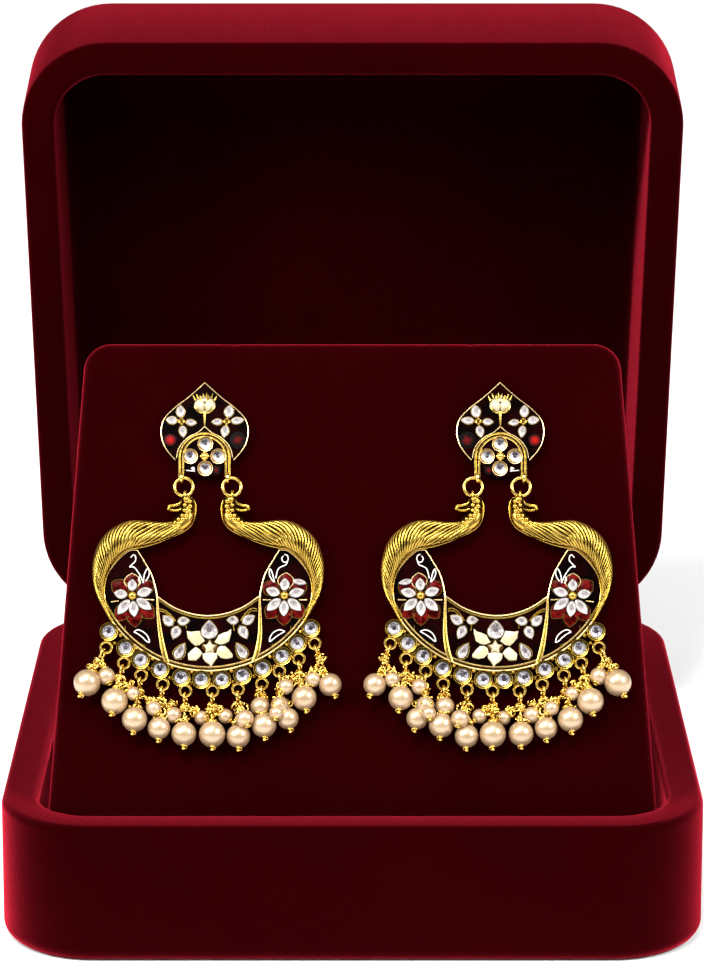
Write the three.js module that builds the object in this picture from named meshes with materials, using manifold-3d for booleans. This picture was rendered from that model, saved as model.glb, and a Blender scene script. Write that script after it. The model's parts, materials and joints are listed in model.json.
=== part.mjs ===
// A pair of chandbali earrings pinned on a leaning card in an open, hinged velvet box.
// Millimetres, +Z up, -Y is the front. The origin is the centre of the box's underside.
import * as THREE from 'three';
import { mergeVertices } from 'three/addons/utils/BufferGeometryUtils.js';
import Module from 'manifold-3d';

const wasm = await Module();
wasm.setup();

// Cuts run this far past the faces they open, and points closer than the tolerance are one
const OVERRUN = 1;
const MERGE_TOLERANCE = 1e-5;
const CURVE_STEPS = 5;

// Box: the plan is a rounded rectangle, slightly narrower at the hinge side
const FRONT_HALF_WIDTH = 65;
const REAR_HALF_WIDTH = 62.2;
const BOX_DEPTH = 117.6;
const BASE_HEIGHT = 26.8;
const LID_HEIGHT = 37.4;
const CORNER_RADIUS = 16.7;
const CORNER_STEPS = 4;
const BASE_WALL = 7;
const LID_WALL = 6.5;
const PANEL_THICKNESS = 3;
const BASE_FILLET = 2.8;
const LID_FILLET = 4.6;
const FILLET_MIDDLE = 0.25;
const RIM_ROUNDING = 1.2;

// Hinges: the pin line lies between the two rims at the rear
const RIM_GAP = 0.8;
const HINGE_Y = BOX_DEPTH / 2 - 0.4;
const HINGE_Z = BASE_HEIGHT + RIM_GAP / 2;
const LID_OPEN = THREE.MathUtils.degToRad(90);
const HINGE_X = 34;
const LEAF_LENGTH = 16;
const LEAF_REACH = 3.6;
const LEAF_THICKNESS = 0.6;
const LEAF_SET_BACK = 1.5;
const LEAF_SINK = 0.1;
const TAB_OVERLAP = 0.4;
const KNUCKLE_RADIUS = 1;
const KNUCKLE_SIDES = 6;
const KNUCKLE_MIDDLE = 5.4;
const KNUCKLE_CLEARANCE = 0.3;
const PIN_RADIUS = 0.45;
const PIN_HOLE_RADIUS = 0.75;
const POCKET_CLEARANCE = 0.3;
const KNUCKLE_POCKET_RADIUS = 1.4;
const KNUCKLE_POCKET_SIDES = 10;

// Card: the face leans back, its lower edge lies just behind the front rim
const CARD_LEAN = THREE.MathUtils.degToRad(60);
const CARD_FOOT_Y = -BOX_DEPTH / 2 + 7.9;
const CARD_FOOT_Z = BASE_HEIGHT - 0.5;
const CARD_LENGTH = 89.1;
const CARD_HALF_FOOT = 56.1;
const CARD_HALF_HEAD = 49.9;
const CARD_THICKNESS = 5;
const CARD_CORNER = 4.7;
const CARD_EDGE = 1.2;
const CARD_GAP = 0.4;
const SKIRT_THICKNESS = 3;
const SKIRT_HALF_WIDTH = 47;
const PROP_THICKNESS = 3;
const PROP_HALF_WIDTH = 44;
const PROP_FOOT_Y = 38;
const PROP_TOP_INSET = 6;
const POST_HOLE_RADIUS = 0.9;
const POST_HOLE_SIDES = 8;
const POST_HOLE_DEPTH = 15;
const FLOOR_OVERLAP = 0.01;

// Earring: its own plane is the card's face, x across, y up the slope, z out of the card.
// Its centre is the centre of the crescent's lower rim.
const EARRING_X = 26.7;
const EARRING_Y = 48.9;
const BACK = 0.5;
const PLATE_TOP = 2;
const PANEL_FLOOR = 1.6;
const WIRE_PLANE = 1.7;

// Crescent
const RIM_X = 22.1;
const RIM_Y = 22.7;
const RIM_END = { x: 18.3, y: -12.4 };
const HORN_TIP = { x: 13.3, y: 0.3 };
const HORN_OUTER = { x: 22.5, y: -2.8 };
const DIVIDER_TOP = { x: 9.1, y: -8.6 };
const DIVIDER_BEND = { x: 9.9, y: -3.7 };
const DIVIDER_FOOT = { x: 8.1, y: -20.4 };
const INNER_SAG = -15.1;
const RIM_WIDTH = 0.7;
const DIVIDER_WIDTH = 0.6;

// Cut stones and petals set in the panels, each placed by its centre
const STONE_FOOT = 1.5;
const STONE_TOP = 2.25;
const TABLE_SHARE = 0.62;
const TABLE_RISE = 0.3;
const PANEL_FLOWERS = [
  { x: -14, y: -8.2, petals: 6, facets: 12, degrees: 90, reach: 3.0, waist: 1.3 },
  { x: 14, y: -8.2, petals: 6, facets: 12, degrees: 90, reach: 3.0, waist: 1.3 },
  { x: 0.2, y: -17.2, petals: 6, facets: 12, degrees: 90, reach: 3.9, waist: 1.7 },
];
const STUD_FLOWERS = [
  { x: -4.4, y: 24.6, petals: 4, facets: 8, degrees: 0, reach: 1.9, waist: 0.7 },
  { x: 4.4, y: 24.6, petals: 4, facets: 8, degrees: 0, reach: 1.9, waist: 0.7 },
  { x: 0, y: 28.4, petals: 2, facets: 8, degrees: 90, reach: 1.8, waist: 1.4 },
];

// Peacock: half width and height of the bird at points from the head to the tail
const PEACOCK_SIDES = 6;
const PEACOCK = [
  { x: 4.2, y: 9.9, half: 0.35, height: 1.5 },
  { x: 3.85, y: 8.9, half: 1.15, height: 2.3 },
  { x: 3.75, y: 7.2, half: 1.25, height: 2.5 },
  { x: 4.5, y: 5.5, half: 1.35, height: 2.65 },
  { x: 6.9, y: 4.15, half: 1.45, height: 2.9 },
  { x: 9.4, y: 3.65, half: 2.0, height: 3.4 },
  { x: 12.8, y: 3.35, half: 2.5, height: 3.7 },
  { x: 16.1, y: 2.45, half: 2.5, height: 3.9 },
  { x: 18.3, y: 0.6, half: 2.2, height: 3.8 },
  { x: 19.8, y: -2.7, half: 1.6, height: 3.4 },
  { x: 20.15, y: -6.2, half: 0.85, height: 2.7 },
  { x: 19.3, y: -9.8, half: 0.5, height: 2.2 },
  { x: 17.4, y: -13.4, half: 0.35, height: 1.7 },
];
const BEAK = { rootX: 4.6, rootY: 8.7, tipX: 7.6, tipY: 7.7, z: 1.6, radius: 0.65, tipRadius: 0.25 };
const EYE_LOOP_X = 4.4;

// Bezelled stones along the rim, and the wire loops soldered below them
const BEZEL_RADIUS = 1.8;
const BEZEL_SIDES = 8;
const BEZEL_TOP = 2.4;
const BEZELS = [
  { x: -18.3, y: -15.1 }, { x: -15.2, y: -18.2 }, { x: -12.4, y: -20.4 }, { x: -8.8, y: -22.2 },
  { x: -4.9, y: -23.7 }, { x: -1.2, y: -24.1 }, { x: 2.6, y: -24.1 }, { x: 6.4, y: -23.3 },
  { x: 10.1, y: -22.0 }, { x: 13.7, y: -19.7 }, { x: 16.5, y: -17.3 }, { x: 19.0, y: -14.5 },
];
const LOOP_RADIUS = 1.03;
const LOOP_WIRE = 0.27;
const RING_STEPS = 10;
const BALL_SIDES = 10;
const WIRE_SIDES = 5;

// Pearl drops: the loop that each hangs on, and its pearl's centre and radius
const LINK_RADIUS = 0.95;
const LINK_WIRE = 0.22;
const LINK_REACH = 1.25;
const PIN_WIRE = 0.24;
const DROPS = [
  { loop: { x: -18.8, y: -18.0 }, pearl: { x: -22.2, y: -24.8, z: 2.9, radius: 2.5 } },
  { loop: { x: -15.5, y: -20.9 }, pearl: { x: -17.1, y: -28.3, z: 3.3, radius: 2.45 } },
  { loop: { x: -12.3, y: -23.2 }, pearl: { x: -13.4, y: -31.6, z: 2.8, radius: 2.35 } },
  { loop: { x: -8.3, y: -24.9 }, pearl: { x: -8.9, y: -33.2, z: 2.5, radius: 2.1 } },
  { loop: { x: -4.1, y: -26.1 }, pearl: { x: -4.3, y: -34.3, z: 2.7, radius: 2.3 } },
  { loop: { x: 0.9, y: -26.1 }, pearl: { x: 0.9, y: -34.4, z: 2.9, radius: 2.45 } },
  { loop: { x: 5.6, y: -25.8 }, pearl: { x: 5.7, y: -34.7, z: 2.6, radius: 2.2 } },
  { loop: { x: 10.0, y: -24.8 }, pearl: { x: 10.4, y: -32.7, z: 2.7, radius: 2.3 } },
  { loop: { x: 13.2, y: -22.4 }, pearl: { x: 14.8, y: -31.4, z: 2.4, radius: 2.0 } },
  { loop: { x: 16.8, y: -20.1 }, pearl: { x: 17.8, y: -27.6, z: 2.7, radius: 2.3 } },
  { loop: { x: 19.7, y: -17.2 }, pearl: { x: 22.6, y: -25.1, z: 2.5, radius: 2.1 } },
];

// Stud: plate, lower disc and wire arch, about its own centre line
const STUD_X = -0.5;
const STUD_APEX_Y = 32.1;
const STUD_UPPER = { x: 5.2, y: 27.8 };
const STUD_CORNER_Y = 25.5;
const STUD_SIDE = { x: 8.3, y: 22.6 };
const STUD_LOWER_Y = 19.4;
const STUD_FOOT = { x: 5.3, y: 17.2 };
const STUD_RIM = 0.45;
const STUD_RIM_MITRE = { apexY: 1.3, upperX: 0.6, upperY: 0.8, footX: 0.4 };
const STUD_PLATE_TOP = 1.9;
const STUD_STONE_TOP = 2.4;
const DISC_Y = 18;
const DISC_RADIUS = 4.1;
const DISC_SIDES = 12;
const ARCH_RADIUS = 4.3;
const ARCH_Y = 17.7;
const ARCH_WIRE = 0.5;
const ARCH_PLANE = 1.9;
const ARCH_STEPS = 7;
const STUD_STONE_RADIUS = 1.3;
const STUD_STONE_RING = 2.5;
const POST_Y = 22;
const POST_RADIUS = 0.4;
const POST_LENGTH = 8.5;

// Jump rings between the arch and the peacocks
const JUMP_RING_OUTER_X = -4.6;
const JUMP_RING_INNER_X = 4.3;
const JUMP_RING_Y = 12.2;
const JUMP_RING_RADIUS = 1.71;
const JUMP_RING_WIRE = 0.33;
const JUMP_RING_STEPS = 12;
const END_LOOP_RADIUS = 0.85;
const END_LOOP_WIRE = 0.3;

const velvet = new THREE.MeshStandardMaterial({ color: 0x6a0c1c, roughness: 0.95, metalness: 0 });
const gold = new THREE.MeshStandardMaterial({ color: 0xc79a2e, roughness: 0.35, metalness: 1 });
const pearl = new THREE.MeshStandardMaterial({ color: 0xf3d7b0, roughness: 0.25, metalness: 0 });
const brass = new THREE.MeshStandardMaterial({ color: 0xa98a45, roughness: 0.45, metalness: 1 });

// A closed mesh as a solid for cutting and joining
function solid(geometry, matrix) {
  const bare = geometry.clone();
  bare.deleteAttribute('normal');
  bare.deleteAttribute('uv');
  if (matrix) bare.applyMatrix4(matrix);
  const merged = mergeVertices(bare, MERGE_TOLERANCE);
  const vertProperties = new Float32Array(merged.attributes.position.array);
  const triVerts = new Uint32Array(merged.index.array);
  return new wasm.Manifold(new wasm.Mesh({ numProp: 3, vertProperties, triVerts }));
}

function join(solids) {
  return solids.reduce((whole, piece) => whole.add(piece));
}

function mesh(name, piece, material) {
  const made = piece.getMesh();
  const geometry = new THREE.BufferGeometry();
  geometry.setAttribute('position', new THREE.BufferAttribute(new Float32Array(made.vertProperties), 3));
  geometry.setIndex(new THREE.BufferAttribute(new Uint32Array(made.triVerts), 1));
  geometry.computeVertexNormals();
  const named = new THREE.Mesh(geometry, material);
  named.name = name;
  return named;
}

function move(x, y, z) {
  return new THREE.Matrix4().makeTranslation(x, y, z);
}

// Skins a row of rings of points, all with the same count, and closes both ends
function loft(rings) {
  const count = rings[0].length;
  const positions = rings.flatMap((ring) => ring.flatMap((point) => point.toArray()));
  const indices = [];
  for (let row = 0; row + 1 < rings.length; row += 1) {
    for (let i = 0; i < count; i += 1) {
      const a = row * count + i;
      const b = row * count + ((i + 1) % count);
      indices.push(a, b, a + count, b, b + count, a + count);
    }
  }
  const last = (rings.length - 1) * count;
  for (let i = 1; i + 1 < count; i += 1) {
    indices.push(0, i + 1, i, last, last + i, last + i + 1);
  }
  const geometry = new THREE.BufferGeometry();
  geometry.setAttribute('position', new THREE.Float32BufferAttribute(positions, 3));
  geometry.setIndex(indices);
  return geometry;
}

// Plan outline of the box, drawn inwards by an inset, at one height
function boxOutline(inset, z) {
  const corners = [
    { x: FRONT_HALF_WIDTH - CORNER_RADIUS, y: CORNER_RADIUS - BOX_DEPTH / 2, from: -90 },
    { x: REAR_HALF_WIDTH - CORNER_RADIUS, y: BOX_DEPTH / 2 - CORNER_RADIUS, from: 0 },
    { x: CORNER_RADIUS - REAR_HALF_WIDTH, y: BOX_DEPTH / 2 - CORNER_RADIUS, from: 90 },
    { x: CORNER_RADIUS - FRONT_HALF_WIDTH, y: CORNER_RADIUS - BOX_DEPTH / 2, from: 180 },
  ];
  const points = [];
  for (const corner of corners) {
    for (let step = 0; step <= CORNER_STEPS; step += 1) {
      const angle = THREE.MathUtils.degToRad(corner.from + (90 * step) / CORNER_STEPS);
      const reach = CORNER_RADIUS - inset;
      const x = corner.x + reach * Math.cos(angle);
      points.push(new THREE.Vector3(x, corner.y + reach * Math.sin(angle), z));
    }
  }
  return points;
}

// A tray standing on z = 0, with a filleted underside and a rounded rim
function tray(height, wall, fillet) {
  const middle = fillet * FILLET_MIDDLE;
  const r = RIM_ROUNDING;
  const profile = [
    [fillet, 0], [middle, middle], [0, fillet],
    [0, height - r], [r, height],
    [wall - r, height], [wall, height - r], [wall, PANEL_THICKNESS],
  ];
  return solid(loft(profile.map(([inset, z]) => boxOutline(inset, z))));
}

function bar(radius, length, sides, x, y, z) {
  const turned = new THREE.Matrix4().makeRotationZ(Math.PI / 2);
  return solid(new THREE.CylinderGeometry(radius, radius, length, sides), turned.premultiply(move(x, y, z)));
}

function block(width, depth, height, x, y, z) {
  return solid(new THREE.BoxGeometry(width, depth, height), move(x, y, z));
}

// Hinge leaf, knuckles and pin about the pin line, for the half that lies on the lower rim (side = -1)
// or the upper rim (side = 1). The knuckle spans are the stretches of the pin line that the leaf holds.
function hingeLeaf(side, spans) {
  const faceZ = side * (RIM_GAP / 2 + LEAF_SINK);
  const middleZ = faceZ + (side * LEAF_THICKNESS) / 2;
  const plateDepth = LEAF_REACH - LEAF_SET_BACK;
  const plateY = -LEAF_SET_BACK - plateDepth / 2;
  const parts = [block(LEAF_LENGTH, plateDepth, LEAF_THICKNESS, 0, plateY, middleZ)];
  for (const [from, to] of spans) {
    const middle = (from + to) / 2;
    const tabDepth = LEAF_SET_BACK + TAB_OVERLAP;
    parts.push(bar(KNUCKLE_RADIUS, to - from, KNUCKLE_SIDES, middle, 0, 0));
    parts.push(block(to - from, tabDepth, LEAF_THICKNESS, middle, -tabDepth / 2, middleZ));
  }
  return join(parts);
}

function hingePocket(side) {
  const depth = LEAF_THICKNESS + LEAF_SINK + POCKET_CLEARANCE;
  const z = side * (RIM_GAP / 2 + (depth - OVERRUN) / 2);
  const length = LEAF_LENGTH + 2 * POCKET_CLEARANCE;
  const reach = LEAF_REACH + POCKET_CLEARANCE;
  const leafPocket = block(length, reach + 2 * OVERRUN, depth + OVERRUN, 0, OVERRUN - reach / 2, z);
  return leafPocket.add(bar(KNUCKLE_POCKET_RADIUS, length, KNUCKLE_POCKET_SIDES, 0, 0, 0));
}

function hingeParts() {
  const half = LEAF_LENGTH / 2;
  const inner = KNUCKLE_MIDDLE / 2;
  const outerSpans = [[-half, -inner - KNUCKLE_CLEARANCE], [inner + KNUCKLE_CLEARANCE, half]];
  const pin = bar(PIN_RADIUS, LEAF_LENGTH, KNUCKLE_SIDES, 0, 0, 0);
  const hole = bar(PIN_HOLE_RADIUS, LEAF_LENGTH, KNUCKLE_SIDES, 0, 0, 0);
  return {
    base: hingeLeaf(-1, outerSpans).add(pin),
    lid: hingeLeaf(1, [[-inner, inner]]).subtract(hole),
  };
}

function cutPockets(piece, side, y, z) {
  return [-HINGE_X, HINGE_X].reduce(
    (cut, x) => cut.subtract(hingePocket(side).translate([x, y, z])),
    piece,
  );
}

// Face outline of the card at one depth, drawn inwards by an inset
function cardOutline(inset, z) {
  const points = [
    new THREE.Vector3(-CARD_HALF_FOOT + inset, 0, z),
    new THREE.Vector3(CARD_HALF_FOOT - inset, 0, z),
  ];
  for (const side of [1, -1]) {
    for (let step = 0; step <= CORNER_STEPS; step += 1) {
      const part = side > 0 ? step : CORNER_STEPS - step;
      const angle = (Math.PI / 2) * (part / CORNER_STEPS);
      const reach = CARD_CORNER - inset;
      const x = side * (CARD_HALF_HEAD - CARD_CORNER + reach * Math.cos(angle));
      points.push(new THREE.Vector3(x, CARD_LENGTH - CARD_CORNER + reach * Math.sin(angle), z));
    }
  }
  return points;
}

// The card in the box's frame: face board, front skirt and rear prop, cleared by the base all round
function displayCard() {
  const e = CARD_EDGE;
  const t = CARD_THICKNESS;
  const sections = [[e, -t], [0, e - t], [0, -e], [e, 0]];
  const lean = new THREE.Matrix4().makeRotationX(CARD_LEAN).premultiply(move(0, CARD_FOOT_Y, CARD_FOOT_Z));
  const board = solid(loft(sections.map(([inset, z]) => cardOutline(inset, z))), lean);
  const floor = PANEL_THICKNESS + CARD_GAP;
  const skirtHeight = CARD_FOOT_Z - floor;
  const skirtY = CARD_FOOT_Y + SKIRT_THICKNESS / 2;
  const skirt = block(2 * SKIRT_HALF_WIDTH, SKIRT_THICKNESS, skirtHeight, 0, skirtY, floor + skirtHeight / 2);
  const top = new THREE.Vector3(0, CARD_LENGTH - PROP_TOP_INSET, -t / 2).applyMatrix4(lean);
  const profile = new THREE.Shape([
    new THREE.Vector2(top.y, top.z),
    new THREE.Vector2(PROP_FOOT_Y - PROP_THICKNESS, floor),
    new THREE.Vector2(PROP_FOOT_Y, floor),
    new THREE.Vector2(top.y + PROP_THICKNESS, top.z),
  ]);
  const sideways = new THREE.Matrix4().makeBasis(
    new THREE.Vector3(0, 1, 0),
    new THREE.Vector3(0, 0, 1),
    new THREE.Vector3(1, 0, 0),
  );
  sideways.premultiply(move(-PROP_HALF_WIDTH, 0, 0));
  const across = { depth: 2 * PROP_HALF_WIDTH, bevelEnabled: false };
  const prop = solid(new THREE.ExtrudeGeometry(profile, across), sideways);
  const clearance = [
    [0, 0], [0, BASE_HEIGHT + CARD_GAP],
    [BASE_WALL + CARD_GAP, BASE_HEIGHT + CARD_GAP], [BASE_WALL + CARD_GAP, floor - FLOOR_OVERLAP],
  ];
  const surround = solid(loft(clearance.map(([inset, z]) => boxOutline(inset, z))));
  const holes = [-1, 1].map((side) => {
    const upright = new THREE.Matrix4().makeRotationX(Math.PI / 2);
    const x = side * (EARRING_X - STUD_X);
    upright.premultiply(move(x, EARRING_Y + POST_Y, 0)).premultiply(lean);
    const r = POST_HOLE_RADIUS;
    return solid(new THREE.CylinderGeometry(r, r, POST_HOLE_DEPTH, POST_HOLE_SIDES), upright);
  });
  return join([board, skirt, prop]).subtract(surround).subtract(join(holes));
}

function extruded(shape, from, to) {
  const options = { depth: to - from, bevelEnabled: false, curveSegments: CURVE_STEPS };
  const geometry = new THREE.ExtrudeGeometry(shape, options);
  return solid(geometry, move(0, 0, from));
}

// A wire ring: flat in the card's plane, or turned on edge so that it runs along a direction
function ring(radius, wire, x, y, z, edgeDirection = null) {
  const geometry = new THREE.TorusGeometry(radius, wire, WIRE_SIDES, RING_STEPS);
  const place = move(x, y, z);
  if (edgeDirection !== null) {
    place.multiply(new THREE.Matrix4().makeRotationZ(edgeDirection));
    place.multiply(new THREE.Matrix4().makeRotationX(Math.PI / 2));
  }
  return solid(geometry, place);
}

// The small loop on edge that holds a jump ring
function endLoop(x, y) {
  return ring(END_LOOP_RADIUS, END_LOOP_WIRE, x, y, ARCH_PLANE, Math.PI / 2);
}

// A round bar between two points, tapering to a second radius where one is given
function rod(from, to, radius, endRadius = radius) {
  const direction = to.clone().sub(from);
  const geometry = new THREE.CylinderGeometry(endRadius, radius, direction.length(), WIRE_SIDES);
  const upright = new THREE.Vector3(0, 1, 0);
  const turn = new THREE.Quaternion().setFromUnitVectors(upright, direction.clone().normalize());
  const middle = from.clone().add(to).multiplyScalar(0.5);
  return solid(geometry, new THREE.Matrix4().compose(middle, turn, new THREE.Vector3(1, 1, 1)));
}

// A ball with its poles towards and away from the card
function ball(x, y, z, radius) {
  const upright = new THREE.Matrix4().makeRotationX(Math.PI / 2).premultiply(move(x, y, z));
  return solid(new THREE.SphereGeometry(radius, BALL_SIDES, BALL_SIDES / 2), upright);
}

// A round stone in its bezel: outer wall, eight sloping facets and a flat table
function bezelStone(x, y, radius, foot, top) {
  const table = top + TABLE_RISE;
  const profile = [[0, foot], [radius, foot], [radius, top], [radius * TABLE_SHARE, table], [0, table]];
  const points = profile.map(([r, z]) => new THREE.Vector2(r, z));
  const upright = new THREE.Matrix4().makeRotationX(Math.PI / 2).premultiply(move(x, y, 0));
  return solid(new THREE.LatheGeometry(points, BEZEL_SIDES), upright);
}

// A raised flower: pointed petals round a centre, faceted up to a flat table.
// With two petals it is a single cut stone, pointed at both ends.
function flower({ x, y, petals, facets, degrees, reach, waist }) {
  const outline = (share, z) => Array.from({ length: facets }, (_, i) => {
    const turn = (i / facets) * 2 * Math.PI;
    const angle = THREE.MathUtils.degToRad(degrees) + turn;
    const between = (1 - Math.cos(petals * turn)) / 2;
    const radius = share * (reach + (waist - reach) * between);
    return new THREE.Vector3(x + radius * Math.cos(angle), y + radius * Math.sin(angle), z);
  });
  return solid(loft([outline(1, STONE_FOOT), outline(TABLE_SHARE, STONE_TOP)]));
}

// A bar of oval section along points in the card's plane: half is its half width, height its full height
function sweep(points, sides) {
  const rings = points.map((point, i) => {
    const before = points[Math.max(i - 1, 0)];
    const after = points[Math.min(i + 1, points.length - 1)];
    const along = new THREE.Vector2(after.x - before.x, after.y - before.y).normalize();
    return Array.from({ length: sides }, (_, k) => {
      const turn = ((k + 0.5) / sides) * 2 * Math.PI;
      const across = point.half * Math.cos(turn);
      const rise = (point.height / 2) * Math.sin(turn);
      return new THREE.Vector3(point.x - along.y * across, point.y + along.x * across, point.z + rise);
    });
  });
  return solid(loft(rings));
}

function rimAngle(x, inset) {
  return -Math.acos(x / (RIM_X - inset));
}

// Whole outline of the crescent plate, horns included
function crescentOutline() {
  const shape = new THREE.Shape();
  const end = rimAngle(RIM_END.x, 0);
  shape.moveTo(-HORN_TIP.x, HORN_TIP.y);
  shape.quadraticCurveTo(-HORN_OUTER.x, HORN_OUTER.y, -RIM_END.x, RIM_END.y);
  shape.absellipse(0, 0, RIM_X, RIM_Y, -Math.PI - end, end, false);
  shape.quadraticCurveTo(HORN_OUTER.x, HORN_OUTER.y, HORN_TIP.x, HORN_TIP.y);
  shape.quadraticCurveTo(DIVIDER_BEND.x, DIVIDER_BEND.y, DIVIDER_TOP.x, DIVIDER_TOP.y);
  shape.quadraticCurveTo(0, INNER_SAG, -DIVIDER_TOP.x, DIVIDER_TOP.y);
  shape.quadraticCurveTo(-DIVIDER_BEND.x, DIVIDER_BEND.y, -HORN_TIP.x, HORN_TIP.y);
  return shape;
}

// The sunk enamel panel between the two dividers
function middlePanel() {
  const shape = new THREE.Shape();
  const half = DIVIDER_WIDTH / 2;
  const foot = rimAngle(DIVIDER_FOOT.x - half, RIM_WIDTH);
  const topY = DIVIDER_TOP.y - RIM_WIDTH;
  shape.moveTo(-DIVIDER_TOP.x + half, topY);
  shape.absellipse(0, 0, RIM_X - RIM_WIDTH, RIM_Y - RIM_WIDTH, -Math.PI - foot, foot, false);
  shape.lineTo(DIVIDER_TOP.x - half, topY);
  shape.quadraticCurveTo(0, INNER_SAG - RIM_WIDTH, -DIVIDER_TOP.x + half, topY);
  return shape;
}

// The sunk enamel panel of the right horn
function hornPanel() {
  const shape = new THREE.Shape();
  const half = DIVIDER_WIDTH / 2;
  const foot = rimAngle(DIVIDER_FOOT.x + half, RIM_WIDTH);
  const end = rimAngle(RIM_END.x - RIM_WIDTH, RIM_WIDTH);
  shape.moveTo(DIVIDER_TOP.x + half, DIVIDER_TOP.y);
  shape.absellipse(0, 0, RIM_X - RIM_WIDTH, RIM_Y - RIM_WIDTH, foot, end, false);
  const outerX = HORN_OUTER.x - 2 * RIM_WIDTH;
  shape.quadraticCurveTo(outerX, HORN_OUTER.y, HORN_TIP.x, HORN_TIP.y - 2 * RIM_WIDTH);
  shape.quadraticCurveTo(DIVIDER_BEND.x + RIM_WIDTH, DIVIDER_BEND.y, DIVIDER_TOP.x + half, DIVIDER_TOP.y);
  return shape;
}

function mirrored(piece) {
  return piece.mirror([1, 0, 0]);
}

function peacock() {
  const body = sweep(PEACOCK.map((row) => ({ ...row, z: BACK + row.height / 2 })), PEACOCK_SIDES);
  const beak = rod(
    new THREE.Vector3(BEAK.rootX, BEAK.rootY, BEAK.z),
    new THREE.Vector3(BEAK.tipX, BEAK.tipY, BEAK.z),
    BEAK.radius,
    BEAK.tipRadius,
  );
  return join([body, beak, endLoop(EYE_LOOP_X, JUMP_RING_Y - JUMP_RING_RADIUS)]);
}

function crescent() {
  const middle = extruded(middlePanel(), PANEL_FLOOR, PLATE_TOP + OVERRUN);
  const horn = extruded(hornPanel(), PANEL_FLOOR, PLATE_TOP + OVERRUN);
  const plate = extruded(crescentOutline(), BACK, PLATE_TOP).subtract(join([middle, horn, mirrored(horn)]));
  const bezels = BEZELS.map(({ x, y }) => bezelStone(x, y, BEZEL_RADIUS, BACK, BEZEL_TOP));
  const loops = DROPS.map(({ loop }) => ring(LOOP_RADIUS, LOOP_WIRE, loop.x, loop.y, WIRE_PLANE));
  const bird = peacock();
  return join([plate, bird, mirrored(bird), ...PANEL_FLOWERS.map(flower), ...bezels, ...loops]);
}

// Pointed outline of the stud's plate about its own centre line, drawn inwards by an inset
function studOutline(inset) {
  const shape = new THREE.Shape();
  const side = STUD_SIDE.x - inset;
  const mitre = STUD_RIM_MITRE;
  const foot = { x: STUD_FOOT.x - mitre.footX * inset, y: STUD_FOOT.y + inset };
  const apex = STUD_APEX_Y - mitre.apexY * inset;
  const upper = { x: STUD_UPPER.x - mitre.upperX * inset, y: STUD_UPPER.y - mitre.upperY * inset };
  shape.moveTo(0, apex);
  shape.lineTo(-upper.x, upper.y);
  shape.quadraticCurveTo(-side, STUD_CORNER_Y, -side, STUD_SIDE.y);
  shape.quadraticCurveTo(-side, STUD_LOWER_Y, -foot.x, foot.y);
  shape.lineTo(foot.x, foot.y);
  shape.quadraticCurveTo(side, STUD_LOWER_Y, side, STUD_SIDE.y);
  shape.quadraticCurveTo(side, STUD_CORNER_Y, upper.x, upper.y);
  return shape;
}

function archPath() {
  const legFoot = JUMP_RING_Y + JUMP_RING_RADIUS + END_LOOP_RADIUS;
  const wire = { half: ARCH_WIRE, height: 2 * ARCH_WIRE, z: ARCH_PLANE };
  const points = [{ x: ARCH_RADIUS, y: legFoot, ...wire }];
  for (let step = 0; step <= ARCH_STEPS; step += 1) {
    const turn = (Math.PI * step) / ARCH_STEPS;
    points.push({ x: ARCH_RADIUS * Math.cos(turn), y: ARCH_Y + ARCH_RADIUS * Math.sin(turn), ...wire });
  }
  points.push({ x: -ARCH_RADIUS, y: legFoot, ...wire });
  return points;
}

function stud() {
  const plate = extruded(studOutline(0), BACK, STUD_PLATE_TOP)
    .subtract(extruded(studOutline(STUD_RIM), PANEL_FLOOR, STUD_PLATE_TOP + OVERRUN));
  const across = new THREE.Matrix4().makeRotationX(Math.PI / 2);
  const discHeight = STUD_PLATE_TOP - BACK;
  const disc = solid(
    new THREE.CylinderGeometry(DISC_RADIUS, DISC_RADIUS, discHeight, DISC_SIDES),
    across.clone().premultiply(move(0, DISC_Y, BACK + discHeight / 2)),
  );
  const post = solid(
    new THREE.CylinderGeometry(POST_RADIUS, POST_RADIUS, POST_LENGTH, WIRE_SIDES),
    across.clone().premultiply(move(0, POST_Y, PANEL_FLOOR - POST_LENGTH / 2)),
  );
  const stones = [0, 90, 180, 270].map((degrees) => {
    const angle = THREE.MathUtils.degToRad(degrees);
    const x = STUD_STONE_RING * Math.cos(angle);
    return bezelStone(x, DISC_Y + STUD_STONE_RING * Math.sin(angle), STUD_STONE_RADIUS, BACK, STUD_STONE_TOP);
  });
  const endLoops = [-1, 1].map((side) => endLoop(side * ARCH_RADIUS, JUMP_RING_Y + JUMP_RING_RADIUS));
  const arch = sweep(archPath(), WIRE_SIDES);
  const parts = [plate, disc, post, arch, ...stones, ...endLoops, ...STUD_FLOWERS.map(flower)];
  return join(parts).translate([STUD_X, 0, 0]);
}

function jumpRing(x) {
  const geometry = new THREE.TorusGeometry(JUMP_RING_RADIUS, JUMP_RING_WIRE, WIRE_SIDES, JUMP_RING_STEPS);
  return solid(geometry, move(x, JUMP_RING_Y, ARCH_PLANE));
}

// A link through its loop, and a pearl on a pin below it
function pearlDrop({ loop, pearl: { x, y, z, radius } }) {
  const start = new THREE.Vector3(loop.x, loop.y, WIRE_PLANE);
  const hang = new THREE.Vector3(x - loop.x, y - loop.y, 0).normalize();
  const centre = start.clone().addScaledVector(hang, LINK_REACH);
  const end = start.clone().addScaledVector(hang, LINK_REACH + LINK_RADIUS);
  const link = ring(LINK_RADIUS, LINK_WIRE, centre.x, centre.y, centre.z, Math.atan2(hang.y, hang.x));
  const pin = rod(end, new THREE.Vector3(x, y, z), PIN_WIRE);
  return join([link, pin, ball(x, y, z, radius)]);
}

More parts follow.
